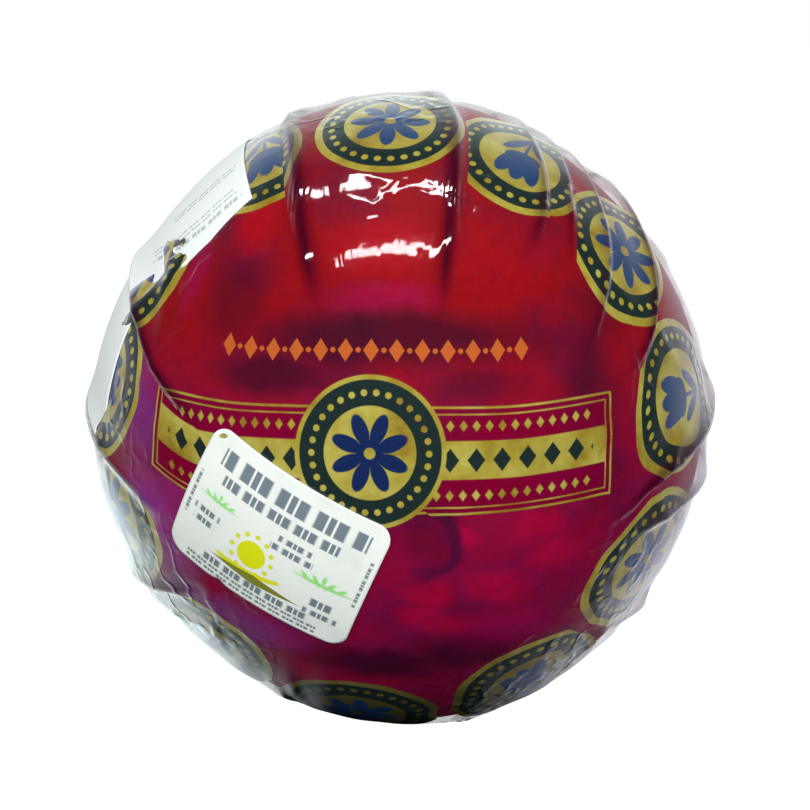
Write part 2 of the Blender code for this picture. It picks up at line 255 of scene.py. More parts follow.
@dataclass(frozen=True)
class PleatSet:
    """All pleats of the film, in order round the rim: up the right, over the top and down the left."""

    broad: float = 0.0032
    rear_start: float = 100.0
    rear_height: float = 0.0013
    rear_spacing: float = 15.0
    rear_gap: float = 20.0

    def front(self) -> list[Pleat]:
        """The pleats that start on the front."""
        back, onward, broad = Falls.BACK, Falls.ONWARD, self.broad
        lower_right = Pleat(((66, -45), (78, -41.4), (86, -38), (110, -35)), 66, 0.0012, back, swallowed=1.9)
        right_under = Pleat(((45, -31), (56, -22), (64, -19), (72, -15.9), (84, -12.5), (110, -9)),
                            56, 0.0014, back, swallowed=0.5, lap_and_shade=0.0023)
        right_deep = Pleat(((49, -23.9), (52, -18.4), (57, -11.4), (65, -7.0), (83, -1), (95, 3), (110, 6)),
                           46, 0.0019, back, swallowed=0.8, lap_and_shade=0.0023)
        shoulder_long = Pleat(((53, 12), (58.5, 16), (65, 21.5), (72, 26.6), (82, 36), (95, 46), (120, 52)),
                              50, 0.0014, back, swallowed=2.5)
        shoulder_faint = Pleat(((40, 17.9), (47, 23.7), (53, 29.6), (62, 36), (75, 45), (90, 55), (120, 63)),
                               38, 0.0006, back)
        right_seam = Pleat(((50, 38), (55, 42), (61, 47), (70, 51.7), (90, 60), (110, 67)),
                           50, 0.0007, back, swallowed=4.4)
        upper_right = Pleat(((45.6, 50.7), (52, 50.5), (58, 52.8), (73.5, 59.4), (80.5, 63), (110, 73)),
                            43, 0.0008, back, swallowed=0.6)
        top_right = Pleat(((25, 58.4), (30, 62.4), (41.4, 68.8), (54, 72.6), (66, 75), (100, 84)),
                          24, 0.0013, back, broad, swallowed=4.7, lap_and_shade=0.0020)
        top_left = Pleat(((27, 115.3), (44, 112.2), (61, 110.4), (74, 111.1), (110, 113)),
                         24, 0.0011, onward, broad, swallowed=6.1, lap_and_shade=0.0021)
        left_deep = Pleat(((45.7, 200), (50.5, 197.2), (56, 192), (64.4, 186.1), (80, 180), (110, 173)),
                          44, 0.0016, onward, broad, swallowed=7.0)
        left_notch = Pleat(((43.4, 223), (56.5, 218.2), (62, 215.7), (78, 210.4), (110, 204)),
                           45, 0.0015, onward, swallowed=1.8, lap_and_shade=0.0026)
        left_under = Pleat(((58.5, 231.2), (60.6, 227.5), (64.3, 222.6), (70, 219), (85, 216.5), (110, 216)),
                           57, 0.0008, onward, swallowed=1.2)
        lower_left = Pleat(((60, 250), (110, 244)), 66, 0.0009, onward)
        bottom = Pleat(((62, 281), (110, 286)), 68, 0.0013, back)
        return [lower_right, right_under, right_deep, shoulder_long, shoulder_faint, right_seam, upper_right,
                top_right, top_left, self.left_long(), left_deep, left_notch, left_under, lower_left, bottom]

    def left_long(self) -> Pleat:
        """The pleat that runs under the side label."""
        line = ((32, 177), (41, 169), (47, 165.3), (53.4, 161.5), (60, 157), (80, 151), (110, 147))
        return Pleat(line, 30, 0.0012, Falls.ONWARD, swallowed=9.8)

    def all(self) -> list[Pleat]:
        """Every pleat: those of the front, and rear ones in each wide gap between them."""
        front, pleats = self.front(), []
        knots = np.arange(0.0, 181.0, 5.0)
        for pleat, follower in zip(front, front[1:] + [front[0].turned(360.0)]):
            pleats.append(pleat)
            gap = float(follower.azimuth(90.0) - pleat.azimuth(90.0))
            added = round(gap / self.rear_spacing) - 1 if gap > self.rear_gap else 0
            for share in (np.arange(added) + 1.0) / (added + 1.0):
                azimuth = (1.0 - share) * pleat.azimuth(knots) + share * follower.azimuth(knots)
                line = tuple(zip(knots, azimuth))
                pleats.append(Pleat(line, self.rear_start, self.rear_height, pleat.falls))
        return pleats


@dataclass(frozen=True)
class Gather:
    """The dished gather behind, with the short ruffled stub of film that stands in it."""

    dish_radius: float = 0.032
    dish_depth: float = 0.0045
    stub_radius: float = 0.0115
    stub_wall: float = 0.0025
    ruffles: int = 9
    ruffle_share: float = 0.10
    fine_ruffles: int = 31
    fine_height: float = 0.0003
    fine_reach: float = 0.034

    def foot(self, azimuth: np.ndarray) -> np.ndarray:
        """Distance of the stub's foot from its middle: its radius times one and a small cosine wave."""
        return self.stub_radius * (1.0 + self.ruffle_share * np.cos(np.radians(self.ruffles * azimuth)))

    def dish(self, reach: np.ndarray) -> np.ndarray:
        """Depth of the dish at a distance from the stub's middle, a smooth step."""
        return self.dish_depth * (1.0 - smooth_step(reach, self.stub_radius, self.dish_radius))

    def lift(self, reach: np.ndarray, azimuth: np.ndarray) -> np.ndarray:
        """The stub, a smooth step at its foot, less the dish, plus fine ruffles that fade outwards."""
        foot = self.foot(azimuth)
        stub = self.dish_depth * (1.0 - smooth_step(reach, foot - self.stub_wall, foot))
        waves = np.sin(np.radians(self.fine_ruffles * azimuth) + 1.5 * np.sin(np.radians(7.0 * azimuth)))
        fine = self.fine_height * waves * bell(reach - self.stub_radius, self.fine_reach / 2.0)
        return stub - self.dish(reach) + fine * smooth_step(reach, 0.0, self.stub_radius / 2.0)

    def ending(self, reach: np.ndarray) -> np.ndarray:
        """The share of the pleats' height that is left as they run into the stub."""
        return smooth_step(reach, self.stub_radius - self.stub_wall, self.stub_radius + self.stub_wall)


@dataclass(frozen=True)
class Crinkles:
    """Fine wrinkles of the tight film: slow waves, short creases that fan out of the pleats, and a heap.

    crumple is the heap's place beside the side label: its polar angle and azimuth, how far it spreads each
    way, and how far its creases turn, all in degrees.
    """

    seed: int = 11
    wave_height: float = 0.00005
    wave_counts: tuple[int, int] = (14, 46)
    waves: int = 9
    still_front: tuple[float, float] = (12.0, 60.0)
    creases: int = 7
    crumple: tuple[float, float, float, float, float] = (59.0, 149.0, 4.0, 7.0, 40.0)
    crumple_creases: int = 26
    crumple_height: tuple[float, float] = (0.00025, 0.00050)
    crumple_length: tuple[float, float] = (0.005, 0.011)
    crease_starts: tuple[float, float] = (-2.0, 22.0)
    crease_stray: float = 2.0
    loose_span: tuple[float, float] = (20.0, 125.0)
    crease_fan: float = 30.0
    crease_length: tuple[float, float] = (0.009, 0.028)
    crease_width: tuple[float, float] = (0.0012, 0.0021)
    crease_height: tuple[float, float] = (0.00012, 0.00036)
    scattered: int = 90

    def slow_waves(self, polar: np.ndarray, azimuth: np.ndarray) -> np.ndarray:
        """Sine waves round the ball whose crests lean with the polar angle, stronger away from the front."""
        draw = np.random.default_rng(self.seed)
        total = np.zeros_like(azimuth)
        for _ in range(self.waves):
            count, start = draw.integers(*self.wave_counts), draw.uniform(0.0, FULL_TURN)
            lean, slow = draw.uniform(-0.07, 0.07), draw.uniform(0.6, 1.6)
            bend = np.sin(slow * np.radians(polar) * 3.0 + start)
            total += np.sin(np.radians(count * azimuth) + lean * polar + start) * bend
        return self.wave_height * total * (0.25 + 0.75 * smooth_step(polar, *self.still_front))

    def lines(self, pleats: list[Pleat]) -> np.ndarray:
        """Draws the creases.

        Args:
            pleats: The pleats at whose starts some of the creases fan out.

        Returns:
            One row for each crease: polar angle, azimuth, heading, length, width and height.
        """
        draw = np.random.default_rng(self.seed + 1)
        starts = []
        for pleat in pleats:
            along = pleat.start + draw.uniform(*self.crease_starts, self.creases)
            starts += [(polar, float(pleat.azimuth(polar))) for polar in along]
        loose = zip(draw.uniform(*self.loose_span, self.scattered), draw.uniform(0.0, 360.0, self.scattered))
        places = np.array(starts + list(loose))
        count = len(places)
        places += draw.normal(0.0, self.crease_stray, (count, 2))
        heading = draw.normal(0.0, self.crease_fan, count)
        spans = (self.crease_length, self.crease_width, self.crease_height)
        sizes = [draw.uniform(*span, count) for span in spans]
        fanned = np.stack((places[:, 0], places[:, 1], heading, *sizes), axis=-1)
        return np.concatenate((fanned, self.crumpled()))

    def crumpled(self) -> np.ndarray:
        """Short high creases in a heap beside the side label, drawn from bell curves, one a row."""
        polar, azimuth, high, wide, fan = self.crumple
        draw = np.random.default_rng(self.seed + 2)
        count = self.crumple_creases
        drawn = [draw.normal(*spread, count) for spread in ((polar, high), (azimuth, wide), (0.0, fan))]
        spans = (self.crumple_length, self.crease_width, self.crumple_height)
        return np.stack(drawn + [draw.uniform(*span, count) for span in spans], axis=-1)

    def lift(self, unit: np.ndarray, lines: np.ndarray, radius: float) -> np.ndarray:
        """Height of all creases: for each, a bell curve across its arc times a bell curve along it."""
        total = np.zeros(unit.shape[:-1])
        for polar, azimuth, heading, length, width, height in lines:
            middle = direction(np.array(polar), np.array(azimuth))
            onward = direction(np.array(polar + 90.0), np.array(azimuth))
            aside = np.cross(middle, onward)
            angle = math.radians(heading)
            along = onward * math.cos(angle) + aside * math.sin(angle)
            across = np.cross(middle, along)
            near = unit @ middle > math.cos(length / radius)
            offset, reach = unit[near] @ across * radius, unit[near] @ along * radius
            total[near] += height * bell(offset, width) * bell(reach, length / 2.0)
        return total


@dataclass
class FilmSurface:
    """The film's surface over the ball: pleats, gather, swells, and the fine crinkles of the real film."""

    form: BallForm = field(default_factory=BallForm)
    gather: Gather = field(default_factory=Gather)
    crinkles: Crinkles = field(default_factory=Crinkles)
    pleats: list[Pleat] = field(default_factory=lambda: PleatSet().all())

    def coarse(self, polar: np.ndarray, azimuth: np.ndarray) -> np.ndarray:
        """How far the film stands off the smooth ball, without its crinkles."""
        reach = self.form.from_stub(polar)
        pleated = sum(pleat.lift(polar, azimuth, self.form) for pleat in self.pleats)
        pleated = pleated * self.gather.ending(reach)
        return pleated + self.form.swell(polar, azimuth) + self.gather.lift(reach, azimuth)

    def shade(self, polar: np.ndarray, azimuth: np.ndarray) -> np.ndarray:
        """How dark the pleats' layers and painted shade make the film, 0 to 1: the darkest pleat there."""
        dark = np.zeros_like(azimuth)
        for pleat in self.pleats:
            dark = np.maximum(dark, pleat.shade(polar, azimuth, self.form))
        return dark

    def fine(self, polar: np.ndarray, azimuth: np.ndarray, flattened: np.ndarray) -> np.ndarray:
        """How far the film stands off the smooth ball, its crinkles left out where a label flattens it."""
        lines = self.crinkles.lines(self.pleats)
        creases = self.crinkles.lift(direction(polar, azimuth), lines, self.form.mean_radius)
        small = self.crinkles.slow_waves(polar, azimuth) + creases
        free = (1.0 - flattened) * self.gather.ending(self.form.from_stub(polar))
        return self.coarse(polar, azimuth) + small * free

    def pleat_at(self, polar: float, azimuth: float) -> Pleat:
        """The pleat whose line passes nearest to a place."""
        return min(self.pleats, key=lambda pleat: abs(float(pleat.azimuth(polar)) - azimuth))


def add_piece(name: str, points: np.ndarray, faces: np.ndarray, slot: str,
              stands_for: str) -> bpy.types.Object:
    """Makes a smooth-shaded piece that rides on the ball and stands for one of its solids.

    It is left out of the light that bounces between surfaces, which keeps a full render short.

    Args:
        name: The piece's name.
        points: Its points, one a row.
        faces: Point numbers, four a row. A triangle repeats its last one.
        slot: The record's material slot; not used.
        stands_for: The solid that it replaces.

    Returns:
        The new object.
    """
    mesh = bpy.data.meshes.new(name)
    rows = [row[:3] if row[2] == row[3] else row for row in faces.tolist()]
    mesh.from_pydata(points.tolist(), [], rows)
    mesh.shade_smooth()
    piece = bpy.data.objects.new(name, mesh)
    bpy.context.scene.collection.objects.link(piece)
    piece.visible_diffuse = False
    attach(piece, "root")
    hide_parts(stands_for)
    return piece


def add_attribute(piece: bpy.types.Object, name: str, domain: str, vectors: np.ndarray) -> None:
    """Stores a vector for each point or face corner of a piece."""
    stored = piece.data.attributes.new(name, "FLOAT_VECTOR", domain)
    stored.data.foreach_set("vector", vectors.astype(np.float32).ravel())


def ring_faces(rows: int, columns: int) -> np.ndarray:
    """Quads between neighbouring closed rings of points, outwards for rings that run from front to back."""
    row, column = np.meshgrid(np.arange(rows - 1), np.arange(columns), indexing="ij")
    following = (column + 1) % columns
    quads = (row * columns + column, (row + 1) * columns + column,
             (row + 1) * columns + following, row * columns + following)
    return np.stack(quads, axis=-1).reshape(-1, 4)


def fan_faces(tip: int, ring: np.ndarray) -> np.ndarray:
    """Triangles from a tip to each side of a closed ring of point numbers."""
    there = np.roll(ring, -1)
    return np.stack((np.full_like(ring, tip), ring, there, there), axis=-1)


def closed_skin(rings: np.ndarray, tips: np.ndarray) -> tuple[np.ndarray, np.ndarray]:
    """A closed skin over rings of points, with a tip before the first ring and one after the last.

    Args:
        rings: Closed rings from front to back, rows by columns by three.
        tips: The two tips, one a row.

    Returns:
        All points, and the faces between them.
    """
    rows, columns = rings.shape[:2]
    first = np.arange(columns)
    last = (rows - 1) * columns + first
    fans = (fan_faces(rows * columns, first), fan_faces(rows * columns + 1, last[::-1]))
    faces = np.concatenate((ring_faces(rows, columns), *fans))
    return np.concatenate((rings.reshape(-1, 3), tips)), faces


def slab(outer: np.ndarray, inner: np.ndarray) -> tuple[np.ndarray, np.ndarray]:
    """A thin closed slab between two grids of points.

    Args:
        outer: The outer face's points, rows by columns by three.
        inner: The inner face's points, of the same shape.

    Returns:
        All points, and quads for both faces and for the wall round their rim.
    """
    rows, columns = outer.shape[:2]
    number = np.arange(rows * columns).reshape(rows, columns)
    corners = (number[:-1, :-1], number[1:, :-1], number[1:, 1:], number[:-1, 1:])
    top = np.stack(corners, axis=-1).reshape(-1, 4)
    rim = np.concatenate((number[0, :-1], number[:-1, -1], number[-1, :0:-1], number[:0:-1, 0]))
    there = np.roll(rim, -1)
    wall = np.stack((rim, there, there + number.size, rim + number.size), axis=-1)
    below = top[:, ::-1] + number.size
    return np.concatenate((outer.reshape(-1, 3), inner.reshape(-1, 3))), np.concatenate((top, below, wall))


@dataclass(frozen=True)
class Paper:
    """Thin paper that is stuck on the film: its own name, its material slot and the solid it stands for."""

    name: str
    slot: str
    stands_for: str
    gap: float
    thickness: float

    def lay(self, surface: FilmSurface, polar: np.ndarray, azimuth: np.ndarray, flat: np.ndarray,
            lift: Any = 0.0) -> bpy.types.Object:
        """Lays the paper on the film, a gap above it.

        Args:
            surface: The film's surface.
            polar: Polar angles of the paper's grid.
            azimuth: Its azimuths, of the same shape.
            flat: Its flat places in metres, x and y as the last axis, stored with the mesh in millimetres.
            lift: How much further off the film it stands.

        Returns:
            The piece, a thin closed slab.
        """
        under = surface.coarse(polar, azimuth) + self.gap + lift
        outer = surface.form.points(polar, azimuth, under + self.thickness)
        points, faces = slab(outer, surface.form.points(polar, azimuth, under))
        piece = add_piece(self.name, points, faces, self.slot, self.stands_for)
        stored = np.concatenate((flat, np.zeros_like(flat[..., :1])), axis=-1).reshape(-1, 3) / MILLIMETRE
        add_attribute(piece, "label_place", "POINT", np.concatenate((stored, stored)))
        return piece


class Number:
    """One value among the nodes: a socket whose arithmetic adds Math nodes."""

    def __init__(self, nodes: "NodeTree", socket: bpy.types.NodeSocket) -> None:
        """Keeps the node tree and the socket that holds the value."""
        self.nodes = nodes
        self.socket = socket

    def math(self, operation: str, *others: Any, clamped: bool = False) -> "Number":
        """This value and others through one Math node."""
        return self.nodes.math(operation, self, *others, clamped=clamped)

    def __add__(self, other: Any) -> "Number":
        """The sum."""
        return self.math("ADD", other)

    __radd__ = __add__

    def __sub__(self, other: Any) -> "Number":
        """The difference."""
        return self.math("SUBTRACT", other)

    def __rsub__(self, other: Any) -> "Number":
        """The difference, the other way round."""
        return self.nodes.math("SUBTRACT", other, self)

    def __mul__(self, other: Any) -> "Number":
        """The product."""
        return self.math("MULTIPLY", other)

    __rmul__ = __mul__

    def __truediv__(self, other: Any) -> "Number":
        """The quotient."""
        return self.math("DIVIDE", other)

    def __neg__(self) -> "Number":
        """The value with its sign turned."""
        return self.math("MULTIPLY", -1.0)

    def __abs__(self) -> "Number":
        """The value without its sign."""
        return self.math("ABSOLUTE")

    def __and__(self, other: Any) -> "Number":
        """The overlap of two shapes: the larger of their distances."""
        return self.math("MAXIMUM", other)

    def __or__(self, other: Any) -> "Number":
        """The union of two shapes: the smaller of their distances."""
        return self.math("MINIMUM", other)

    def folded(self, pitch: float) -> "Number":
        """The distance from the nearest of evenly spaced places, with its sign."""
        return ((self / pitch + 0.5).math("FRACT") - 0.5) * pitch

    def inside(self, softness: float = 0.22) -> "Number":
        """1 where a distance is under nothing and 0 where it is over, with a soft edge."""
        return self.math("MULTIPLY_ADD", -1.0 / softness, 0.5, clamped=True)

    def between(self, low: float, high: float) -> "Number":
        """0 at low, 1 at high, and a straight line between."""
        return self.math("MULTIPLY_ADD", 1.0 / (high - low), -low / (high - low), clamped=True)


def strongest(covers: list[Number]) -> Number:
    """The largest of some covers."""
    return reduce(lambda most, cover: most.math("MAXIMUM", cover), covers)


def union(shapes: list[Number]) -> Number:
    """The union of some shapes."""
    return reduce(operator.or_, shapes)


class NodeTree:
    """The nodes of a material or of the surround, and the ways in which they are added."""

    def __init__(self, tree: bpy.types.NodeTree) -> None:
        """Keeps the tree."""
        self.tree = tree

    def node(self, kind: str, settings: dict | None = None, values: dict | None = None) -> bpy.types.Node:
        """Adds a node.

        Args:
            kind: The node's type.
            settings: Its own settings, set first.
            values: Values or links for its sockets, by name or number.

        Returns:
            The node.
        """
        made = self.tree.nodes.new(kind)
        for name, value in (settings or {}).items():
            setattr(made, name, value)
        for key, value in (values or {}).items():
            self.feed(made.inputs[key], value)
        return made

    def feed(self, socket: bpy.types.NodeSocket, value: Any) -> None:
        """Links a socket to a Number or another socket, or sets its value."""
        if isinstance(value, Number):
            self.tree.links.new(value.socket, socket)
        elif isinstance(value, bpy.types.NodeSocket):
            self.tree.links.new(value, socket)
        elif isinstance(value, tuple) and len(value) == 3 and socket.type == "RGBA":
            socket.default_value = (*value, 1.0)
        else:
            socket.default_value = value

    def math(self, operation: str, *values: Any, clamped: bool = False) -> Number:
        """Values through one Math node."""
        settings = {"operation": operation, "use_clamp": clamped}
        made = self.node("ShaderNodeMath", settings, dict(enumerate(values)))
        return Number(self, made.outputs[0])

    def vector(self, x: Any, y: Any, z: Any = 0.0) -> bpy.types.NodeSocket:
        """A vector of three numbers."""
        return self.node("ShaderNodeCombineXYZ", None, {0: x, 1: y, 2: z}).outputs[0]

    def length(self, x: Any, y: Any) -> Number:
        """Length of a flat vector."""
        made = self.node("ShaderNodeVectorMath", {"operation": "LENGTH"}, {0: self.vector(x, y)})
        return Number(self, made.outputs["Value"])

    def along(self, vector: bpy.types.NodeSocket, axis: Vector) -> Number:
        """How far a vector reaches along an axis."""
        made = self.node("ShaderNodeVectorMath", {"operation": "DOT_PRODUCT"}, {0: vector, 1: tuple(axis)})
        return Number(self, made.outputs["Value"])

    def mix(self, under: Any, over: Any, cover: Any) -> bpy.types.NodeSocket:
        """One colour laid over another with a given cover."""
        made = self.node("ShaderNodeMix", {"data_type": "RGBA"}, {0: cover, 6: under, 7: over})
        return made.outputs[2]

    def layered(self, ground: Any, layers: tuple) -> bpy.types.NodeSocket:
        """A ground with layers over it in order, each a colour and its cover."""
        return reduce(lambda under, layer: self.mix(under, *layer), layers, ground)

    def noise(self, vector: Any, scale: float, detail: float = 1.0, roughness: float = 0.5) -> Number:
        """Smooth noise about one half."""
        values = {"Vector": vector, "Scale": scale, "Detail": detail, "Roughness": roughness}
        return Number(self, self.node("ShaderNodeTexNoise", None, values).outputs[0])

    def parts(self, vector: bpy.types.NodeSocket) -> list[Number]:
        """A vector's three numbers."""
        made = self.node("ShaderNodeSeparateXYZ", None, {0: vector})
        return [Number(self, socket) for socket in made.outputs]


class Finish(NodeTree):
    """A material with a Principled shader."""

    def __init__(self, name: str, **constants: float) -> None:
        """Makes the material and sets the shader's own sockets, named with underscores."""
        self.material = bpy.data.materials.new(name)
        self.material.use_nodes = True
        super().__init__(self.material.node_tree)
        self.shader = self.tree.nodes["Principled BSDF"]
        for socket, value in constants.items():
            self.shader.inputs[socket.replace("_", " ")].default_value = value

    def attribute(self, name: str) -> bpy.types.NodeSocket:
        """A vector that is stored with the mesh."""
        return self.node("ShaderNodeAttribute", {"attribute_name": name}).outputs["Vector"]

    def object_place(self) -> bpy.types.NodeSocket:
        """Object coordinates."""
        return self.node("ShaderNodeTexCoord").outputs["Object"]

    def bump(self, height: Number, distance: float, strength: float = 1.0) -> None:
        """Feeds the shader's normal from a height of 0 to 1 over a distance."""
        values = {"Strength": strength, "Distance": distance, "Height": height}
        self.feed(self.shader.inputs["Normal"], self.node("ShaderNodeBump", None, values).outputs[0])

    def dress(self, piece: bpy.types.Object) -> None:
        """Gives the piece this material."""
        piece.data.materials.clear()
        piece.data.materials.append(self.material)


@dataclass(frozen=True)
class FlatPlace:
    """A flat place in a print, from which shapes measure their distances in millimetres."""

    nodes: NodeTree
    x: Number
    y: Number

    def moved(self, x: float, y: float) -> "FlatPlace":
        """The same place seen from another origin."""
        return FlatPlace(self.nodes, self.x - x, self.y - y)

    def scaled(self, factor: float) -> "FlatPlace":
        """The same place in a drawing of another scale."""
        return FlatPlace(self.nodes, self.x * factor, self.y * factor)

    def turned(self, degrees: float) -> "FlatPlace":
        """The same place in axes that are turned anticlockwise."""
        cosine, sine = math.cos(math.radians(degrees)), math.sin(math.radians(degrees))
        return FlatPlace(self.nodes, self.x * cosine + self.y * sine, self.y * cosine - self.x * sine)

    def scaled_apart(self, across: float, upward: float) -> "FlatPlace":
        """The same place with its two axes scaled each on its own."""
        return FlatPlace(self.nodes, self.x * across, self.y * upward)

    def mirrored(self) -> "FlatPlace":
        """The right half laid over the left."""
        return FlatPlace(self.nodes, abs(self.x), self.y)

    def length(self) -> Number:
        """Distance from the origin."""
        return self.nodes.length(self.x, self.y)

    def angle(self) -> Number:
        """Angle from the x axis, in radians."""
        return self.nodes.math("ARCTAN2", self.y, self.x)

    def disc(self, radius: float) -> Number:
        """Distance from a disc about the origin."""
        return self.length() - radius

    def ellipse(self, half_width: float, half_height: float) -> Number:
        """Distance from an ellipse about the origin, true on its shorter axis."""
        spread = self.nodes.length(self.x * (1.0 / half_width), self.y * (1.0 / half_height))
        return (spread - 1.0) * min(half_width, half_height)

    def box(self, half_width: float, half_height: float) -> Number:
        """Distance from a rectangle about the origin, measured along the axes."""
        return (abs(self.x) - half_width) & (abs(self.y) - half_height)

    def lozenge(self, half_width: float, half_height: float) -> Number:
        """Distance from a lozenge about the origin."""
        spread = abs(self.x) * (1.0 / half_width) + abs(self.y) * (1.0 / half_height)
        return (spread - 1.0) * (half_width * half_height / math.hypot(half_width, half_height))

    def beads(self, count: int, ring: float, radius: float) -> Number:
        """Distance from round beads, evenly spaced on a ring."""
        along = (self.angle() * (1.0 / FULL_TURN)).folded(1.0 / count) * (FULL_TURN * ring)
        return self.nodes.length(along, self.length() - ring) - radius


class Motif(Enum):
    """The figure in the middle of a printed disc."""

    TULIP = "tulip"
    ROSETTE = "rosette"


@dataclass(frozen=True)
class Disc:
    """A printed disc: a gold rim, a navy ring with gold beads, and a gold middle with a blue figure.

    Its other sizes are those of its drawing, in which its radius is 17.5.
    """

    radius: float = 17.2
    ring_outer: float = 16.4
    ring_inner: float = 10.6
    beads: int = 30
    bead_ring: float = 13.5
    bead_radius: float = 0.75

    drawn_radius = 17.5

    def drawing(self, place: FlatPlace) -> FlatPlace:
        """The place in the disc's drawing."""
        return place.scaled(self.drawn_radius / self.radius)

    def gold(self, place: FlatPlace) -> Number:
        """The disc itself."""
        return place.disc(self.radius)

    def navy(self, place: FlatPlace) -> Number:
        """The ring, with its beads left out."""
        drawing = self.drawing(place)
        reach = drawing.length()
        ring = (reach - self.ring_outer) & (self.ring_inner - reach)
        beads = drawing.beads(self.beads, self.bead_ring, self.bead_radius)
        return ring & -beads

    def blue(self, place: FlatPlace, motif: Motif) -> Number:
        """The figure in the middle."""
        drawing = self.drawing(place)
        return self.tulip(drawing) if motif is Motif.TULIP else self.rosette(drawing)

    def tulip(self, place: FlatPlace) -> Number:
        """A flower of three petals with a stem and two leaves."""
        half = place.mirrored()
        middle = place.moved(0.0, 3.4).ellipse(2.2, 5.0)
        petal = half.moved(2.9, 3.2).turned(-16.0).ellipse(2.0, 5.0)
        cup = place.moved(0.0, 0.6).ellipse(4.4, 3.0)
        stem = place.moved(0.0, -5.0).box(0.45, 4.6)
        leaf = half.moved(2.9, -5.2).turned(-36.0).ellipse(1.35, 4.6)
        return middle | petal | cup | stem | leaf

    def rosette(self, place: FlatPlace) -> Number:
        """A flower of eight petals round a gold eye."""
        reach = place.length()
        angle = place.angle().folded(FULL_TURN / 8.0)
        along = FlatPlace(place.nodes, reach * angle.math("COSINE"), reach * angle.math("SINE"))
        petals = along.moved(5.6, 0.0).ellipse(3.7, 1.75)
        return (petals | place.disc(3.2)) & -place.disc(1.3)


@dataclass(frozen=True)
class Band:
    """The band across the print: a gold strip with lozenges between two dark panels with beads."""

    half_width: float = 58.0
    low: float = -14.0
    high: float = 10.5
    line: float = 0.55
    strip_low: float = -5.8
    strip_high: float = 2.8
    lozenge_pitch: float = 6.0
    bead_pitch: float = 3.0
    rows_reach: float = 52.5
    bead_half: tuple[float, float] = (0.95, 1.25)
    lozenge_half: tuple[float, float] = (2.1, 2.7)

    def panel(self, place: FlatPlace) -> Number:
        """The whole band."""
        return self.middle(place).box(self.half_width, (self.high - self.low) / 2.0)

    def middle(self, place: FlatPlace) -> FlatPlace:
        """The place seen from the band's middle."""
        return place.moved(0.0, (self.high + self.low) / 2.0)

    def gold(self, place: FlatPlace) -> Number:
        """The border lines, the strip and the beads of both panels."""
        middle = self.middle(place)
        half_height = (self.high - self.low) / 2.0
        outer = abs(middle.box(self.half_width - 0.4, half_height - 0.4)) - self.line / 2.0
        inner = abs(middle.box(self.half_width - 1.9, half_height - 1.9)) - self.line / 3.0
        strip = place.moved(0.0, (self.strip_high + self.strip_low) / 2.0)
        strip_shape = strip.box(self.half_width - 1.9, (self.strip_high - self.strip_low) / 2.0)
        return outer | inner | strip_shape | self.row_of_beads(place)

    def row_of_beads(self, place: FlatPlace) -> Number:
        """Beads in a row in the middle of each panel."""
        upper = (self.high + self.strip_high) / 2.0 - 0.6
        lower = (self.low + self.strip_low) / 2.0 + 0.5
        across = place.x.folded(self.bead_pitch)
        spots = [FlatPlace(place.nodes, across, place.y - level) for level in (upper, lower)]
        rows = union([spot.lozenge(*self.bead_half) for spot in spots])
        return rows & (abs(place.x) - self.rows_reach)

    def navy(self, place: FlatPlace) -> Number:
        """Lozenges along the gold strip."""
        across = place.x.folded(self.lozenge_pitch)
        level = (self.strip_high + self.strip_low) / 2.0
        lozenge = FlatPlace(place.nodes, across, place.y - level).lozenge(*self.lozenge_half)
        return lozenge & (abs(place.x) - self.rows_reach)


@dataclass(frozen=True)
class Row:
    """A row of orange-gold lozenges above the band, with a dot between each two."""

    half_width: float = 37.0
    level: float = 22.5
    pitch: float = 5.8

    def orange(self, place: FlatPlace) -> Number:
        """The row's shapes."""
        height = place.y - self.level
        big = FlatPlace(place.nodes, place.x.folded(self.pitch), height).lozenge(1.8, 2.6)
        small = FlatPlace(place.nodes, (place.x + self.pitch / 2.0).folded(self.pitch), height).disc(0.62)
        return (big | small) & (abs(place.x) - self.half_width)


@dataclass(frozen=True)
class Zone:
    """A soft oval patch of colour, in flat millimetres."""

    x: float
    y: float
    half_width: float
    half_height: float
    strength: float = 1.0

    def cover(self, place: FlatPlace) -> Number:
        """Its strength at its middle, falling to nothing at its edge."""
        spread = place.moved(self.x, self.y).scaled_apart(1.0 / self.half_width, 1.0 / self.half_height)
        return (1.0 - spread.length()).math("MULTIPLY", 1.6, clamped=True) * self.strength


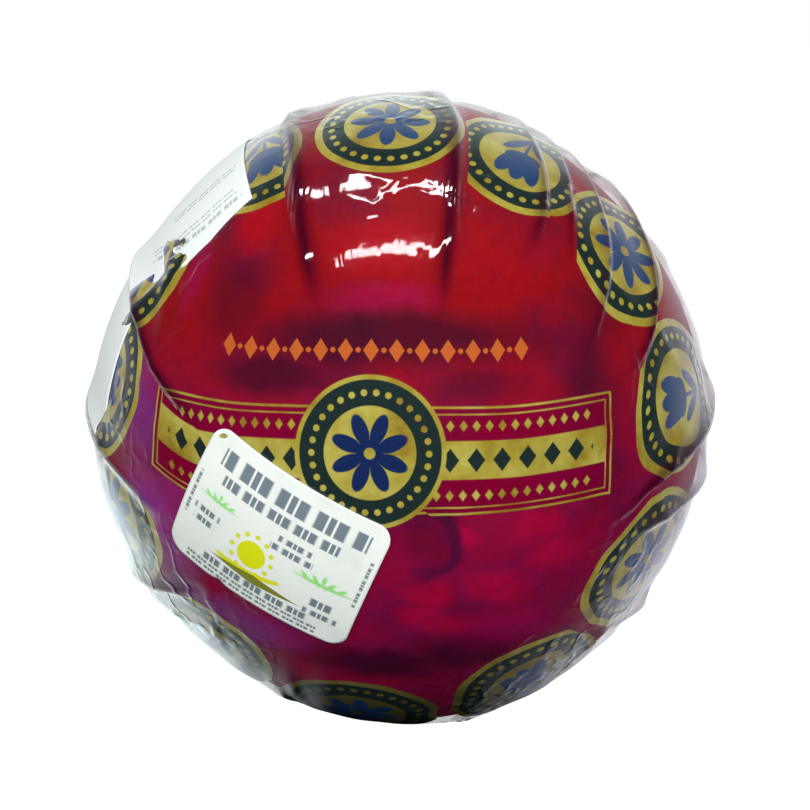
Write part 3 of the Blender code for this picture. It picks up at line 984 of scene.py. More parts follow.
@dataclass(frozen=True)
class Clouds:
    """Where the ball's red turns dark, vivid and magenta, and where a purple sheen is painted."""

    dark: tuple[Zone, ...] = (
        Zone(4, 25, 50, 9, 0.85), Zone(-24, 17, 20, 7, 0.85), Zone(-35, 34, 12, 14, 0.5),
        Zone(25, 15, 14, 6, 0.5), Zone(54, 6, 10, 26, 0.6), Zone(60, 34, 14, 12, 0.5),
        Zone(23, -54, 20, 10, 0.9), Zone(0, -57, 28, 8, 0.9), Zone(14, -20, 8, 12, 0.35))
    vivid: tuple[Zone, ...] = (
        Zone(23.2, -19.3, 3.4, 3), Zone(39.4, -19.4, 10, 6, 0.9), Zone(45.1, -26.8, 9, 6, 0.8),
        Zone(13.2, -35.1, 8, 5, 0.9), Zone(15.5, -44.1, 8, 4, 0.6), Zone(10.7, -40.8, 7, 4, 0.8),
        Zone(30, -34, 12, 7, 0.9), Zone(-34, 56, 9, 12, 0.9), Zone(30, 48, 22, 14, 0.3),
        Zone(2, 48, 16, 10, 0.8))
    magenta: tuple[Zone, ...] = (
        Zone(3, 35, 16, 5, 0.6), Zone(-52, 44, 6, 16, 0.7), Zone(44, -6, 12, 7, 0.5),
        Zone(34, -48, 18, 8, 0.5), Zone(-36, 2, 9, 10, 0.4))
    # A painted purple sheen at the lower left, standing in for a reflection.
    painted_violet_sheen: tuple[Zone, ...] = (
        Zone(-58, -33, 17, 22), Zone(-64, -4, 13, 18, 0.7), Zone(-36, -52, 24, 11, 0.6),
        Zone(-50, -18, 8, 16, 0.5))

    ragged_scale = 58.0
    ragged_reach = 9.0

    def ragged(self, nodes: NodeTree, x: Number, y: Number, spot: bpy.types.NodeSocket) -> FlatPlace:
        """A flat place shifted by noise, which makes the zones' edges ragged."""
        shifts = [nodes.noise(spot, self.ragged_scale * grow, 3.0, 0.6) - 0.5 for grow in (1.0, 1.31)]
        return FlatPlace(nodes, x + shifts[0] * self.ragged_reach, y + shifts[1] * self.ragged_reach)

    def cover(self, place: FlatPlace, zones: tuple[Zone, ...]) -> Number:
        """The strongest of some zones."""
        return strongest([zone.cover(place) for zone in zones])


@dataclass(frozen=True)
class Inks:
    """Colours of the film and of the inks on it."""

    # Red higher up and crimson lower down: the change with height is painted light from above and painted
    # shade below.
    red: Colour = (0.235, 0.001, 0.004)
    crimson: Colour = (0.200, 0.006, 0.080)
    maroon: Colour = (0.055, 0.001, 0.020)
    # Purple of the sheen that is painted at the lower left.
    painted_violet_sheen: Colour = (0.25, 0.06, 0.46)
    # Dark maroon of the pleats' bands: doubled film with painted shade.
    lapped_and_shaded: Colour = (0.035, 0.001, 0.012)
    panel: Colour = (0.19, 0.001, 0.03)
    gold: Colour = (0.37, 0.295, 0.040)
    pale_gold: Colour = (0.47, 0.42, 0.085)
    deep_gold: Colour = (0.27, 0.175, 0.018)
    shaded_gold: Colour = (0.10, 0.085, 0.025)
    navy: Colour = (0.014, 0.028, 0.026)
    blue: Colour = (0.009, 0.022, 0.095)
    light_blue: Colour = (0.014, 0.050, 0.150)
    orange: Colour = (0.52, 0.115, 0.024)


@dataclass(frozen=True)
class FilmFinish:
    """The clear red film with its print: a ring of discs, a large one in the middle, a band and a row."""

    inks: Inks = field(default_factory=Inks)
    seal: Disc = field(default_factory=Disc)
    disc: Disc = field(default_factory=lambda: Disc(20.6, ring_outer=15.7))
    band: Band = field(default_factory=Band)
    row: Row = field(default_factory=Row)
    ring: float = 86.0
    discs: int = 12
    clear: float = 0.47
    panel_cover: float = 0.7
    # Painted light: between these heights the film turns from crimson to the lighter red of its top.
    painted_light_height: tuple[float, float] = (0.056, 0.100)
    # Painted shade: below these heights the gold darkens towards the floor.
    painted_shade_height: tuple[float, float] = (0.030, 0.010)
    clouds: Clouds = field(default_factory=Clouds)
    wrinkle_height: float = 0.0012
    radial_share: float = 0.17
    ridge_share: float = 0.12
    peel_share: float = 0.04
    ripple_share: float = 0.16
    ripple_pitch: float = 1.5
    ripples: tuple[Zone, ...] = (Zone(-21, 59, 4.5, 7), Zone(18, 59, 5, 7), Zone(-29.5, 43.5, 6, 5))

    def sector(self, place: FlatPlace) -> tuple[FlatPlace, Number]:
        """The place in its own sector's disc, top towards the middle, and whether it's an odd one."""
        reach = place.length()
        step = FULL_TURN / self.discs
        angle = place.angle()
        folded = angle.folded(step)
        upward = self.ring - reach * folded.math("COSINE")
        local = FlatPlace(place.nodes, reach * folded.math("SINE"), upward)
        number = (angle / step + 0.5).math("FLOOR")
        odd = (number * 0.5).math("FRACT") * 2.0
        return local, odd

    def material(self) -> Finish:
        """Builds the film's finish.

        Returns:
            The finish, see-through where nothing is printed.
        """
        finish = Finish("printed_red_film", Roughness=0.055, IOR=1.75)
        x, y, lapped_and_shaded = finish.parts(finish.attribute("film_place"))
        place = FlatPlace(finish, x, y)
        local, odd = self.sector(place)
        tulip, rosette = [self.disc.blue(local, motif).inside() for motif in (Motif.TULIP, Motif.ROSETTE)]
        figure = tulip * (1.0 - odd) + rosette * odd
        middle = self.seal.blue(place.turned(22.5), Motif.ROSETTE).inside()
        band_navy = self.band.navy(place) & -place.disc(self.seal.radius)
        gold = union([self.disc.gold(local), self.seal.gold(place), self.band.gold(place)]).inside()
        navy = union([self.disc.navy(local), self.seal.navy(place), band_navy]).inside()
        panel = self.band.panel(place).inside()
        orange = self.row.orange(place).inside()
        # Painted shade along the pleats, partly their doubled film: it darkens the colour and covers the
        # film.
        dark = lapped_and_shaded * (0.95 - gold * 0.18)
        spot = finish.object_place()
        inks = self.inks
        layers = ((inks.panel, panel), (self.gold_ink(finish, spot), gold), (inks.navy, navy),
                  (inks.light_blue, figure), (inks.blue, middle), (inks.orange, orange), (inks.lapped_and_shaded, dark))
        colour = finish.layered(self.ground(finish, place, spot), layers)
        finish.feed(finish.shader.inputs["Base Color"], colour)
        cover = strongest([gold, orange, panel * self.panel_cover, dark])
        finish.feed(finish.shader.inputs["Alpha"], cover * (1.0 - self.clear) + self.clear)
        finish.bump(self.wrinkles(finish, place, spot), self.wrinkle_height)
        return finish

    def ground(self, finish: Finish, place: FlatPlace, spot: bpy.types.NodeSocket) -> bpy.types.NodeSocket:
        """The film's red with painted light and shade by height: lighter red high up, crimson lower down.

        Dark clouds lie over it, and a painted purple sheen at the left.
        """
        inks, clouds = self.inks, self.clouds
        mottle = finish.noise(spot, 48.0, 3.0)
        ragged = clouds.ragged(finish, place.x, place.y, spot)
        # Painted light and shade: lighter red higher up and crimson lower down, set by height alone.
        layers = ((inks.red, finish.parts(spot)[2].between(*self.painted_light_height)),
                  (inks.maroon, mottle.between(0.50, 0.72) * 0.7),
                  (inks.maroon, clouds.cover(ragged, clouds.dark) * 0.8),
                  # The purple zones are a painted sheen.
                  (inks.painted_violet_sheen, clouds.cover(ragged, clouds.painted_violet_sheen)))
        return finish.layered(inks.crimson, layers)

    def gold_ink(self, finish: Finish, spot: bpy.types.NodeSocket) -> bpy.types.NodeSocket:
        """Gold with paler and deeper patches, and painted shade near the floor."""
        shade = finish.noise(spot, 95.0, 3.0, 0.6)
        inks = self.inks
        # The shaded gold near the floor is painted shade.
        layers = ((inks.pale_gold, shade.between(0.48, 0.66)), (inks.deep_gold, shade.between(0.48, 0.34)),
                  (inks.shaded_gold, finish.parts(spot)[2].between(*self.painted_shade_height)))
        return finish.layered(inks.gold, layers)

    def wrinkles(self, finish: Finish, place: FlatPlace, spot: bpy.types.NodeSocket) -> Number:
        """Fine creases of the tight film.

        Radial noise on a circle, so that it has no seam, fades in away from the middle and out at the rim.
        Thin ridges along the middle values of another noise show in patches, over a faint orange peel. Short
        even ripples stand beside the folds at the top.
        """
        reach = place.length()
        around = finish.vector(place.x / reach * 13.0, place.y / reach * 13.0, reach * 0.05)
        radial = finish.noise(around, 1.0, 2.0) * reach.between(14.0, 40.0) * reach.between(120.0, 60.0)
        line = 1.0 - abs(finish.noise(spot, 85.0, 2.0) - 0.5) * 16.0
        patches = finish.noise(spot, 33.0, 1.0).between(0.50, 0.62)
        peel = finish.noise(spot, 240.0, 1.0)
        ripples = abs(place.x.folded(self.ripple_pitch)) * self.clouds.cover(place, self.ripples)
        ridges = line.math("MAXIMUM", 0.0) * patches
        coarse = radial * self.radial_share + ridges * self.ridge_share
        return coarse + peel * self.peel_share + ripples * self.ripple_share


@dataclass
class PrintedFilm:
    """The outer film: a closed skin on a fine grid that follows every pleat, with its flat place stored."""

    surface: FilmSurface
    front_rows: int = 150
    rear_rows: int = 78
    turn_polar: float = 100.0
    column_step: float = 1.75
    edge_share: float = 0.45
    flank_shares: tuple[float, ...] = (0.0, 0.33, 0.67, 1.0)
    print_reach: float = 62.0
    print_slope: float = 3.0
    print_low: float = -95.4
    reference: float = 90.0
    print_pull: float = 2.6
    pull_azimuth: float = 58.0
    hollow: tuple[float, float, float] = (149.0, 15.0, 3.2)

    def rows(self) -> np.ndarray:
        """Polar angles of the rows, close in front and round the stub."""
        front = np.linspace(0.0, self.turn_polar, self.front_rows + 1)[1:]
        rear = np.linspace(self.turn_polar, 180.0, self.rear_rows + 2)[1:-1]
        return np.concatenate((front, rear))

    def columns(self, polar: np.ndarray) -> tuple[np.ndarray, list[int]]:
        """Azimuths of the columns, and the number of the column at the foot of each pleat's flank."""
        pleats, form = self.surface.pleats, self.surface.form
        columns, feet = [], []
        for pleat, follower in zip(pleats, pleats[1:] + [pleats[0].turned(360.0)]):
            near, far = pleat.edges(polar, form)
            half = (far - near) * self.edge_share
            following = follower.edges(polar, form)[0]
            following = following - half
            flank = [near + (far - near) * share for share in self.flank_shares]
            feet.append(len(columns) + (len(flank) if pleat.falls is Falls.ONWARD else 1))
            gap = float(follower.azimuth(90.0) - pleat.azimuth(90.0))
            count = max(2, round(gap / self.column_step) - 2)
            steps = np.arange(1, count + 1) / (count + 1)
            columns += [near - half, *flank, far + half]
            columns += [far + half + (following - far - half) * share for share in steps]
        return np.stack(columns, axis=-1), feet

    def flat_place(self, polar: np.ndarray, azimuth: np.ndarray, feet: list[int]) -> np.ndarray:
        """Where each face corner lies on the flat film.

        A flat place keeps its distance from the print's middle, less a slow cosine round it, where the film
        was pulled to one side, and a bell curve beside the side label. Its angle is a share of the azimuth,
        less a slow sine, plus what the pleats have swallowed between the top and the face.

        Args:
            polar: Polar angles of the grid, rows by columns.
            azimuth: Its azimuths.
            feet: The column at the foot of each pleat.

        Returns:
            Flat places in millimetres, with the pleats' shade as third number, rows less one by columns by
            four corners by three.
        """
        pleats = self.surface.pleats
        rows = polar[:, 0]
        grown = np.array([p.swallowed * smooth_step(rows, p.start, self.print_reach) for p in pleats])
        past = (np.arange(azimuth.shape[1])[None, :] >= np.array(feet)[:, None]).astype(float)
        before_top = np.array([float(p.azimuth(self.print_reach)) < self.reference for p in pleats])
        offset = grown.T @ (past - before_top[:, None])
        share = 1.0 - grown.sum(axis=0)[:, None] / 360.0
        fade = smooth_step(rows, 20.0, self.print_reach)[:, None]
        slow = self.print_slope * fade
        level = math.sin(math.radians(self.reference - self.print_low))

        def corner(row: slice, shift: int) -> np.ndarray:
            """Flat places of one corner of every face, with the pleats' layers and painted shade."""
            angle = np.roll(azimuth, -shift, axis=1)
            angle = angle + 360.0 * (np.arange(angle.shape[1]) + shift >= angle.shape[1])
            wave = np.sin(np.radians(angle - self.print_low)) - level
            turned = np.radians(self.reference + share * (angle - self.reference) - slow * wave + offset)
            place, wide, deep = self.hollow
            hollow = deep * bell((angle - place + 180.0) % 360.0 - 180.0, wide)
            pull = (self.print_pull * np.cos(np.radians(angle - self.pull_azimuth)) + hollow) * fade
            reach = self.surface.form.mean_radius / MILLIMETRE * np.radians(polar) - pull
            dark = self.surface.shade(polar, angle)
            return np.stack((reach * np.cos(turned), reach * np.sin(turned), dark), axis=-1)[row]

        upper, lower = slice(0, -1), slice(1, None)
        return np.stack((corner(upper, 0), corner(lower, 0), corner(lower, 1), corner(upper, 1)), axis=2)

    def build(self, flattened: Any) -> bpy.types.Object:
        """Makes the film, thin enough to leave the light on the wax as it is.

        Args:
            flattened: Gives the share, at polar angles and azimuths, to which a label keeps the film smooth.

        Returns:
            The piece.
        """
        rows = self.rows()
        azimuth, feet = self.columns(rows)
        polar = np.broadcast_to(rows[:, None], azimuth.shape)
        height = self.surface.fine(polar, azimuth, flattened(polar, azimuth))
        rings = self.surface.form.points(polar, azimuth, height)
        tips = self.surface.form.points(np.array((0.0, 180.0)), np.zeros(2), np.zeros(2))
        piece = add_piece("printed_film", *closed_skin(rings, tips), "red_film", "wrapped_ball")
        corners = self.flat_place(polar, azimuth, feet)
        middle = np.zeros((azimuth.shape[1], 3))
        inner = np.stack((middle, corners[0, :, 0], corners[0, :, 3]), axis=1)
        outer = np.repeat(corners[-1, ::-1, 1], 3, axis=0)
        stored = np.concatenate((corners.reshape(-1, 3), inner.reshape(-1, 3), outer.reshape(-1, 3)))
        add_attribute(piece, "film_place", "CORNER", stored)
        piece.visible_shadow = False
        return piece


@dataclass(frozen=True)
class WaxFinish:
    """Deep red cheese wax, mottled, with dark zones and a soft crescent where the wax is bruised."""

    bright: Colour = (0.31, 0.001, 0.005)
    dull: Colour = (0.18, 0.003, 0.029)
    dark: Colour = (0.016, 0.004, 0.013)
    vivid: Colour = (0.53, 0.0, 0.011)
    magenta: Colour = (0.40, 0.0, 0.085)
    crescent: tuple[float, float, float, float] = (12.5, -20.5, 7.8, 1.6)
    clouds: Clouds = field(default_factory=Clouds)

    def material(self) -> Finish:
        """Builds the wax."""
        finish = Finish("red_wax", Roughness=0.5, IOR=1.45, Specular_IOR_Level=0.12)
        spot = finish.object_place()
        x, y, _ = finish.parts(finish.attribute("wax_place"))
        ragged = self.clouds.ragged(finish, x, y, spot)
        mottle = finish.noise(spot, 46.0, 4.0, 0.62)
        grain = finish.noise(spot, 420.0, 2.0, 0.7)
        clouds = self.clouds
        layers = ((self.dull, mottle.between(0.44, 0.60)),
                  (self.dark, clouds.cover(ragged, clouds.dark)),
                  (self.vivid, clouds.cover(ragged, clouds.vivid)),
                  (self.magenta, clouds.cover(ragged, clouds.magenta)),
                  (self.dark, self.bruise(ragged) * 0.9),
                  (self.dark, grain.between(0.52, 0.75) * 0.25))
        finish.feed(finish.shader.inputs["Base Color"], finish.layered(self.bright, layers))
        finish.bump(finish.noise(spot, 160.0, 2.0), 0.0006)
        return finish

    def bruise(self, place: FlatPlace) -> Number:
        """A soft crescent, open to the left: a ring without its left side."""
        x, y, radius, half_width = self.crescent
        spot = place.moved(x, y)
        ring = (abs(spot.length() - radius) - half_width).inside(1.6)
        return ring * spot.x.between(-5.0, 1.0)


@dataclass
class WaxBall:
    """The cheese in its wax, just under the film, which it fills up to the gather."""

    surface: FilmSurface
    gap: float = 0.0012
    floor: float = 0.0008
    row_count: int = 120
    column_count: int = 200

    def build(self) -> bpy.types.Object:
        """Makes the ball: the ellipsoid with its swells and the gather's dish, a gap under the film."""
        form = self.surface.form
        rows = np.linspace(0.0, 180.0, self.row_count + 2)[1:-1]
        turn = np.linspace(0.0, 360.0, self.column_count, endpoint=False)
        polar, azimuth = np.meshgrid(rows, turn, indexing="ij")
        height = form.swell(polar, azimuth) - self.gap - self.surface.gather.dish(form.from_stub(polar))
        rings = form.points(polar, azimuth, height, self.floor)
        depths = np.array((-self.gap, -self.gap - self.surface.gather.dish_depth))
        tips = form.points(np.array((0.0, 180.0)), np.zeros(2), depths)
        piece = add_piece("wax_ball", *closed_skin(rings, tips), "red_film", "wrapped_ball")
        reach = form.mean_radius / MILLIMETRE * np.radians(polar)
        turned = np.radians(azimuth)
        flat = np.stack((reach * np.cos(turned), reach * np.sin(turned), np.zeros_like(reach)), axis=-1)
        ends = np.zeros((2, 3))
        ends[1, 0] = reach.max()
        add_attribute(piece, "wax_place", "POINT", np.concatenate((flat.reshape(-1, 3), ends)))
        return piece


@dataclass(frozen=True)
class Bar:
    """A row of short blocks of uneven width, in place of a line of print."""

    x: float
    y: float
    half_width: float
    half_height: float
    pitch: float

    block_share = 0.37
    unevenness = 0.30

    def cover(self, place: FlatPlace) -> Number:
        """1 on its blocks: a folded row whose pitch is stretched and pressed by a slow sine."""
        spot = place.moved(self.x, self.y)
        uneven = spot.x + (spot.x * (2.1 / self.pitch)).math("SINE") * (self.unevenness * self.pitch)
        block = abs(uneven.folded(self.pitch)) - self.pitch * self.block_share
        return (block & spot.box(self.half_width, self.half_height)).inside(0.3)


@dataclass(frozen=True)
class StickerFinish:
    """White coated paper with grey-blue bars, two green sprigs and a yellow sun over an olive bar."""

    paper: Colour = (0.92, 0.97, 0.92)
    shaded_paper: Colour = (0.80, 0.88, 0.83)
    grey_blue: Colour = (0.09, 0.14, 0.19)
    green: Colour = (0.34, 0.82, 0.25)
    yellow: Colour = (0.78, 0.82, 0.01)
    olive: Colour = (0.24, 0.24, 0.03)
    bars: tuple[Bar, ...] = (
        Bar(0.5, 12.2, 19.5, 2.2, 3.3), Bar(-1.0, 7.4, 15.5, 1.3, 2.3), Bar(5.0, 3.3, 4.2, 0.75, 1.8),
        Bar(5.0, 0.7, 5.4, 0.8, 1.9), Bar(-17.0, -2.4, 3.6, 0.75, 1.7), Bar(-17.0, -5.1, 3.0, 0.75, 1.7),
        Bar(15.6, -8.2, 2.6, 1.1, 2.2), Bar(16.2, -11.3, 4.2, 0.8, 1.8), Bar(-0.5, -13.4, 14.0, 0.95, 1.9),
        Bar(-1.0, -15.3, 17.5, 0.38, 1.1), Bar(-1.0, -16.6, 17.5, 0.38, 1.2))
    end_bars: tuple[Bar, ...] = (Bar(0.0, 22.3, 6.0, 0.4, 1.2), Bar(2.0, -22.3, 6.5, 0.4, 1.2))
    sprig_places: tuple[tuple[float, float, float], ...] = ((-15.2, 1.8, 0.8), (14.2, -2.7, 1.1))

    def material(self) -> Finish:
        """Builds the sticker's print."""
        finish = Finish("sticker_paper", Roughness=0.42, IOR=1.4)
        x, y, _ = finish.parts(finish.attribute("label_place"))
        place = FlatPlace(finish, x, y)
        upright = place.turned(90.0)
        rows = [bar.cover(place) for bar in self.bars] + [bar.cover(upright) for bar in self.end_bars]
        spot = finish.object_place()
        sun = place.moved(-3.5, -5.0)
        swash = place.moved(-3.2, -9.2).turned(6.0)
        crescent = swash.ellipse(8.4, 1.5) & -swash.moved(0.0, 1.0).ellipse(8.2, 1.2)
        layers = ((self.shaded_paper, finish.noise(spot, 120.0, 3.0).between(0.5, 0.8)),
                  (self.grey_blue, strongest(rows) * 0.88),
                  (self.yellow, (sun.beads(12, 5.2, 0.62) | sun.disc(3.6)).inside()),
                  (self.yellow, crescent.inside()),
                  (self.olive, place.moved(-1.0, -11.2).lozenge(12.0, 1.25).inside()),
                  (self.green, self.sprigs(place).inside(0.3)))
        finish.feed(finish.shader.inputs["Base Color"], finish.layered(self.paper, layers))
        finish.bump(finish.noise(spot, 900.0, 2.0), 0.00006)
        return finish

    def sprigs(self, place: FlatPlace) -> Number:
        """Both green sprigs."""
        return union([self.sprig(place.moved(x, y).scaled(1.0 / size)) for x, y, size in self.sprig_places])

    def sprig(self, place: FlatPlace) -> Number:
        """A thin stem with two pairs of leaves and one upright leaf over it."""
        half = place.moved(0.0, 0.5).mirrored()
        leaves = [half.moved(1.6, 0.0).turned(50.0).ellipse(1.5, 0.5),
                  half.moved(4.1, 0.0).turned(35.0).ellipse(1.3, 0.45),
                  place.moved(0.0, 1.4).ellipse(0.5, 1.1)]
        return union([place.ellipse(6.0, 0.45), *leaves])


@dataclass
class FrontSticker:
    """The rounded paper sticker at the lower left of the print."""

    surface: FilmSurface
    place: tuple[float, float] = (26.1, 223.6)
    turn: float = -18.7
    width: float = 0.0479
    height: float = 0.0359
    corner: float = 0.0042
    row_count: int = 70
    column_count: int = 90
    lift: float = 0.00025
    notch: tuple[float, float, float] = (-0.0085, 0.0014, 0.0007)
    paper: Paper = Paper("coated_sticker", "sticker_paper", "front_sticker", gap=0.00012, thickness=0.00024)

    def flat(self) -> np.ndarray:
        """Flat points of a rounded rectangle.

        A plain grid, with each corner's square turned into a quarter disc: a point there keeps the larger of
        its two distances from the corner's middle as its true distance. A small notch dents the lower edge.
        """
        across = np.linspace(-self.width / 2.0, self.width / 2.0, self.column_count)
        upward = np.linspace(self.height / 2.0, -self.height / 2.0, self.row_count)
        y, x = np.meshgrid(upward, across, indexing="ij")
        past_x = np.maximum(np.abs(x) - self.width / 2.0 + self.corner, 0.0)
        past_y = np.maximum(np.abs(y) - self.height / 2.0 + self.corner, 0.0)
        true = np.maximum(np.hypot(past_x, past_y), 1e-9)
        shrink = np.where((past_x > 0) & (past_y > 0), np.maximum(past_x, past_y) / true, 1.0)
        x = np.sign(x) * (np.abs(x) - past_x + past_x * shrink)
        y = np.sign(y) * (np.abs(y) - past_y + past_y * shrink)
        at, wide, deep = self.notch
        low = smooth_step(-y, self.height / 2.0 - 0.004, self.height / 2.0)
        return np.stack((x, y + deep * bell(x - at, wide) * low), axis=-1)

    def cover(self, polar: np.ndarray, azimuth: np.ndarray) -> np.ndarray:
        """1 under the sticker and 0 a little outside it."""
        reach = (direction(polar, azimuth) @ direction(np.array(self.place[0]), np.array(self.place[1])))
        distance = self.surface.form.mean_radius * np.arccos(np.clip(reach, -1.0, 1.0))
        return 1.0 - smooth_step(distance, self.width * 0.42, self.width * 0.62)

    def build(self) -> bpy.types.Object:
        """Makes the sticker: a thin slab that follows the film, its edges slightly lifted."""
        flat = self.flat()
        polar, azimuth = wrapped_place(flat, self.place, self.turn, self.surface.form.mean_radius)
        edge = np.max(np.abs(flat) / (self.width / 2.0, self.height / 2.0), axis=-1)
        return self.paper.lay(self.surface, polar, azimuth, flat, self.lift * np.clip(edge, 0.0, 1.0) ** 8)


@dataclass(frozen=True)
class LabelFinish:
    """White uncoated paper with faint grey rows of print beside its front edge."""

    paper: Colour = (0.92, 0.96, 0.96)
    grey: Colour = (0.34, 0.43, 0.45)
    bars: tuple[Bar, ...] = (
        Bar(0.0, 0.0, 13.5, 0.75, 1.7), Bar(0.5, 2.6, 12.5, 0.35, 1.1), Bar(1.0, 4.4, 12.0, 0.35, 1.2),
        Bar(-2.0, 13.6, 9.0, 0.4, 1.2), Bar(-2.0, 15.4, 9.0, 0.4, 1.1))
    rows_place: tuple[float, float, float] = (15.5, 6.2, 9.2)

    def material(self) -> Finish:
        """Builds the label's print."""
        finish = Finish("label_paper", Roughness=0.55, IOR=1.35)
        x, y, _ = finish.parts(finish.attribute("label_place"))
        along, inward, turn = self.rows_place
        place = FlatPlace(finish, x, y).moved(along, inward).turned(turn)
        colour = finish.mix(self.paper, self.grey, strongest([bar.cover(place) for bar in self.bars]) * 0.75)
        finish.feed(finish.shader.inputs["Base Color"], colour)
        finish.bump(finish.noise(finish.object_place(), 700.0, 3.0), 0.00008)
        return finish


@dataclass
class SideLabel:
    """The paper label that lies over the film's side at the upper left and dips over the pleat below it."""

    surface: FilmSurface
    front_edge: tuple[tuple[float, float], ...] = (
        (120.0, 56.8), (133.0, 54.6), (141.0, 55.4), (148.0, 60.6), (156.4, 65.2), (157.8, 62.8),
        (170.0, 63.2), (177.0, 63.9), (181.0, 68.0))
    back_polar: float = 97.0
    end_gap: float = 2.5
    upper_columns: int = 60
    lower_columns: int = 44
    row_count: int = 70
    edge_passes: int = 12
    upper_pleat: tuple[float, float] = (60.0, 157.0)
    lower_pleat: tuple[float, float] = (64.4, 186.1)
    paper: Paper = Paper("paper_label", "label_paper", "side_label", gap=0.00012, thickness=0.00026)

    def azimuth(self, share: np.ndarray, polar: np.ndarray) -> np.ndarray:
        """Azimuth of a column: from the start to the pleat for shares up to 1, and on to the end by 2."""
        above = self.surface.pleat_at(*self.upper_pleat)
        below = self.surface.pleat_at(*self.lower_pleat)
        near, far = above.edges(polar, self.surface.form)
        start, end = self.front_edge[0][0], below.azimuth(polar) - self.end_gap
        upper = start + (near - start) * np.minimum(share, 1.0)
        lower = far + (end - far) * (share - 1.0)
        return np.where(share <= 1.0, upper, lower)

    def build(self) -> bpy.types.Object:
        """Makes the label: a thin slab whose columns follow the pleat and whose front edge is a line."""
        form = self.surface.form
        upper = np.linspace(0.0, 1.0, self.upper_columns)
        share = np.concatenate((upper, 1.0 + np.linspace(0.001, 1.0, self.lower_columns)))
        edge = np.array(self.front_edge)
        front = np.full_like(share, edge[0, 1])
        for _ in range(self.edge_passes):
            front = np.interp(self.azimuth(share, front), edge[:, 0], edge[:, 1])
        down = np.linspace(0.0, 1.0, self.row_count)[:, None]
        polar = front + (self.back_polar - front) * down
        azimuth = self.azimuth(np.broadcast_to(share, polar.shape), polar)
        along = np.radians(azimuth - edge[0, 0]) * form.ring_radius(np.full_like(polar, 60.0))
        inward = form.mean_radius * np.radians(polar - front)
        return self.paper.lay(self.surface, polar, azimuth, np.stack((along, inward), axis=-1))


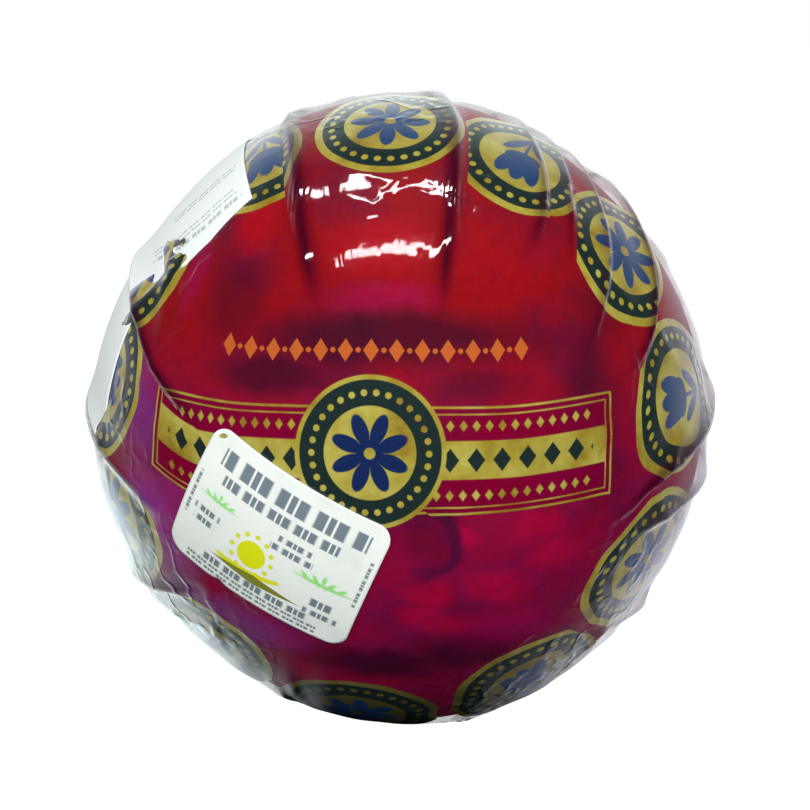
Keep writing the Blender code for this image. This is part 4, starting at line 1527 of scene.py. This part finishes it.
@dataclass
class Studio:
    """The plain floor, the soft lights and the camera."""

    form: BallForm
    azimuth: float = 5.6
    elevation: float = 7.8
    distance: float = 1.0
    lens: float = 189.4
    aim: tuple[float, float] = (0.0010, 0.0013)
    floor_size: float = 6.0
    strip_power: float = 26.0
    fill_power: float = 6.1
    mirrored_light: Colour = (1.42, 1.42, 1.60)
    strong_light: Colour = (2.25, 2.60, 2.65)
    even_light: Colour = (0.76, 0.79, 0.77)

    def back(self) -> Vector:
        """Unit vector from the ball towards the camera."""
        turn, rise = math.radians(self.azimuth), math.radians(self.elevation)
        return Vector((math.sin(turn) * math.cos(rise), -math.cos(turn) * math.cos(rise), math.sin(rise)))

    def right(self) -> Vector:
        """Unit vector to the camera's right."""
        back = self.back()
        return Vector((-back.y, back.x, 0.0)).normalized()

    def middle(self) -> Vector:
        """The ball's middle."""
        return Vector((0.0, 0.0, self.form.rest_height()))

    def camera(self) -> None:
        """Makes the camera, aimed just beside the ball's middle."""
        back, right = self.back(), self.right()
        upward = back.cross(right)
        target = self.middle() + right * self.aim[0] + upward * self.aim[1]
        data = bpy.data.cameras.new("camera")
        data.lens = self.lens
        eye = bpy.data.objects.new("camera", data)
        eye.location = target + back * self.distance
        eye.rotation_mode = "QUATERNION"
        eye.rotation_quaternion = (-back).to_track_quat("-Z", "Y")
        bpy.context.scene.collection.objects.link(eye)
        bpy.context.scene.camera = eye

    def light(self, name: str, towards: Vector, distance: float, size: tuple[float, float], power: float,
              glossy: bool = True, diffuse: bool = True) -> None:
        """Adds a soft rectangular light.

        Args:
            name: The light's name.
            towards: Direction from the ball to the light.
            distance: How far off it is.
            size: Its width, level, and its height.
            power: Its radiance.
            glossy: Whether it shows in reflections.
            diffuse: Whether it lights matt surfaces.
        """
        data = bpy.data.lights.new(name, "AREA")
        data.shape = "RECTANGLE"
        data.size, data.size_y = size
        data.energy = power * size[0] * size[1] * math.pi
        lamp = bpy.data.objects.new(name, data)
        towards = towards.normalized()
        lamp.location = self.middle() + towards * distance
        lamp.rotation_mode = "QUATERNION"
        lamp.rotation_quaternion = towards.to_track_quat("Z", "Y")
        lamp.visible_glossy = glossy
        lamp.visible_diffuse = diffuse
        lamp.visible_camera = False
        bpy.context.scene.collection.objects.link(lamp)

    def above(self, angle: float) -> Vector:
        """Direction in the camera's upright plane, 0 towards the camera and 90 straight up."""
        level = self.back().copy()
        level.z = 0.0
        level.normalize()
        turn = math.radians(angle)
        return level * math.cos(turn) + Vector((0.0, 0.0, math.sin(turn)))

    def lights(self) -> None:
        """Two strips overhead, which the film mirrors, and a broad front light, which it doesn't."""
        self.light("front_strip", self.above(61.0), 1.5, (0.95, 0.085), self.strip_power, diffuse=False)
        self.light("rear_strip", self.above(90.0), 1.5, (0.95, 0.10), self.strip_power, diffuse=False)
        self.light("front_fill", self.above(8.0), 1.6, (1.4, 1.0), self.fill_power, glossy=False)

    def world(self) -> None:
        """The surround.

        It is white to the camera and even above the horizon for soft light. For mirrored rays it is bright
        behind the ball, most of all above and to the lower left, and dark in front of it and straight below.
        """
        world = bpy.data.worlds.new("studio")
        world.use_nodes = True
        bpy.context.scene.world = world
        nodes = NodeTree(world.node_tree)
        heading = nodes.node("ShaderNodeTexCoord").outputs["Generated"]
        back, right = self.back(), self.right()
        side, rise = nodes.along(heading, right), nodes.along(heading, back.cross(right))
        ahead = nodes.along(heading, back)
        behind, straight = ahead.between(-0.10, -0.90), ahead.between(-0.80, -1.0)
        upright, level = rise / nodes.length(side, rise), side / nodes.length(side, rise)
        low_left = (level * -0.80 - upright * 0.60).between(0.75, 0.98)
        strong = low_left.math("MAXIMUM", upright.between(0.70, 0.98) * 0.7)
        share = behind * behind * (1.0 - straight * 0.38) * upright.between(-0.97, -0.70)
        mirrored = nodes.mix(self.mirrored_light, self.strong_light, strong)
        mirrored = nodes.mix((0.0, 0.0, 0.0), mirrored, share)
        above = nodes.along(heading, Vector((0.0, 0.0, 1.0))).between(-0.02, 0.02)
        light = nodes.mix((0.0, 0.0, 0.0), self.even_light, above)
        path = nodes.node("ShaderNodeLightPath")
        colour = nodes.mix(light, mirrored, path.outputs["Is Glossy Ray"])
        colour = nodes.mix(colour, (1.0, 1.0, 1.0), path.outputs["Is Camera Ray"])
        nodes.feed(nodes.tree.nodes["Background"].inputs["Color"], colour)

    def floor(self) -> None:
        """A level pale floor, which the film doesn't mirror."""
        half = self.floor_size / 2.0
        mesh = bpy.data.meshes.new("floor")
        corners = [(-half, -half, 0), (half, -half, 0), (half, half, 0), (-half, half, 0)]
        mesh.from_pydata(corners, [], [(0, 1, 2, 3)])
        plane = bpy.data.objects.new("floor", mesh)
        plane.visible_glossy = False
        plane.visible_diffuse = False
        bpy.context.scene.collection.objects.link(plane)
        pale = (0.55, 0.55, 0.55, 1.0)
        white = (1.0, 1.0, 1.0, 1.0)
        finish = Finish("pale_floor", Roughness=0.9, Specular_IOR_Level=0.0, Base_Color=pale,
                        Emission_Color=white, Emission_Strength=0.66)
        finish.dress(plane)

    def build(self) -> None:
        """Makes all of it."""
        bpy.context.scene.view_settings.view_transform = "Standard"
        self.camera()
        self.lights()
        self.world()
        self.floor()


def report(piece: bpy.types.Object) -> None:
    """Logs a piece's name and size."""
    LOG.info("%s: %d points, %d faces", piece.name, len(piece.data.vertices), len(piece.data.polygons))


def main() -> None:
    """Builds the pieces in order, dresses them and sets the studio round them."""
    logging.basicConfig(level=logging.INFO, format="%(name)s: %(message)s")
    surface = FilmSurface()
    sticker = FrontSticker(surface)
    pieces = (
        (PrintedFilm(surface).build(sticker.cover), FilmFinish().material()),
        (WaxBall(surface).build(), WaxFinish().material()),
        (sticker.build(), StickerFinish().material()),
        (SideLabel(surface).build(), LabelFinish().material()),
    )
    for piece, finish in pieces:
        finish.dress(piece)
        report(piece)
    Studio(surface.form).build()


if __name__ == "__main__":
    main()
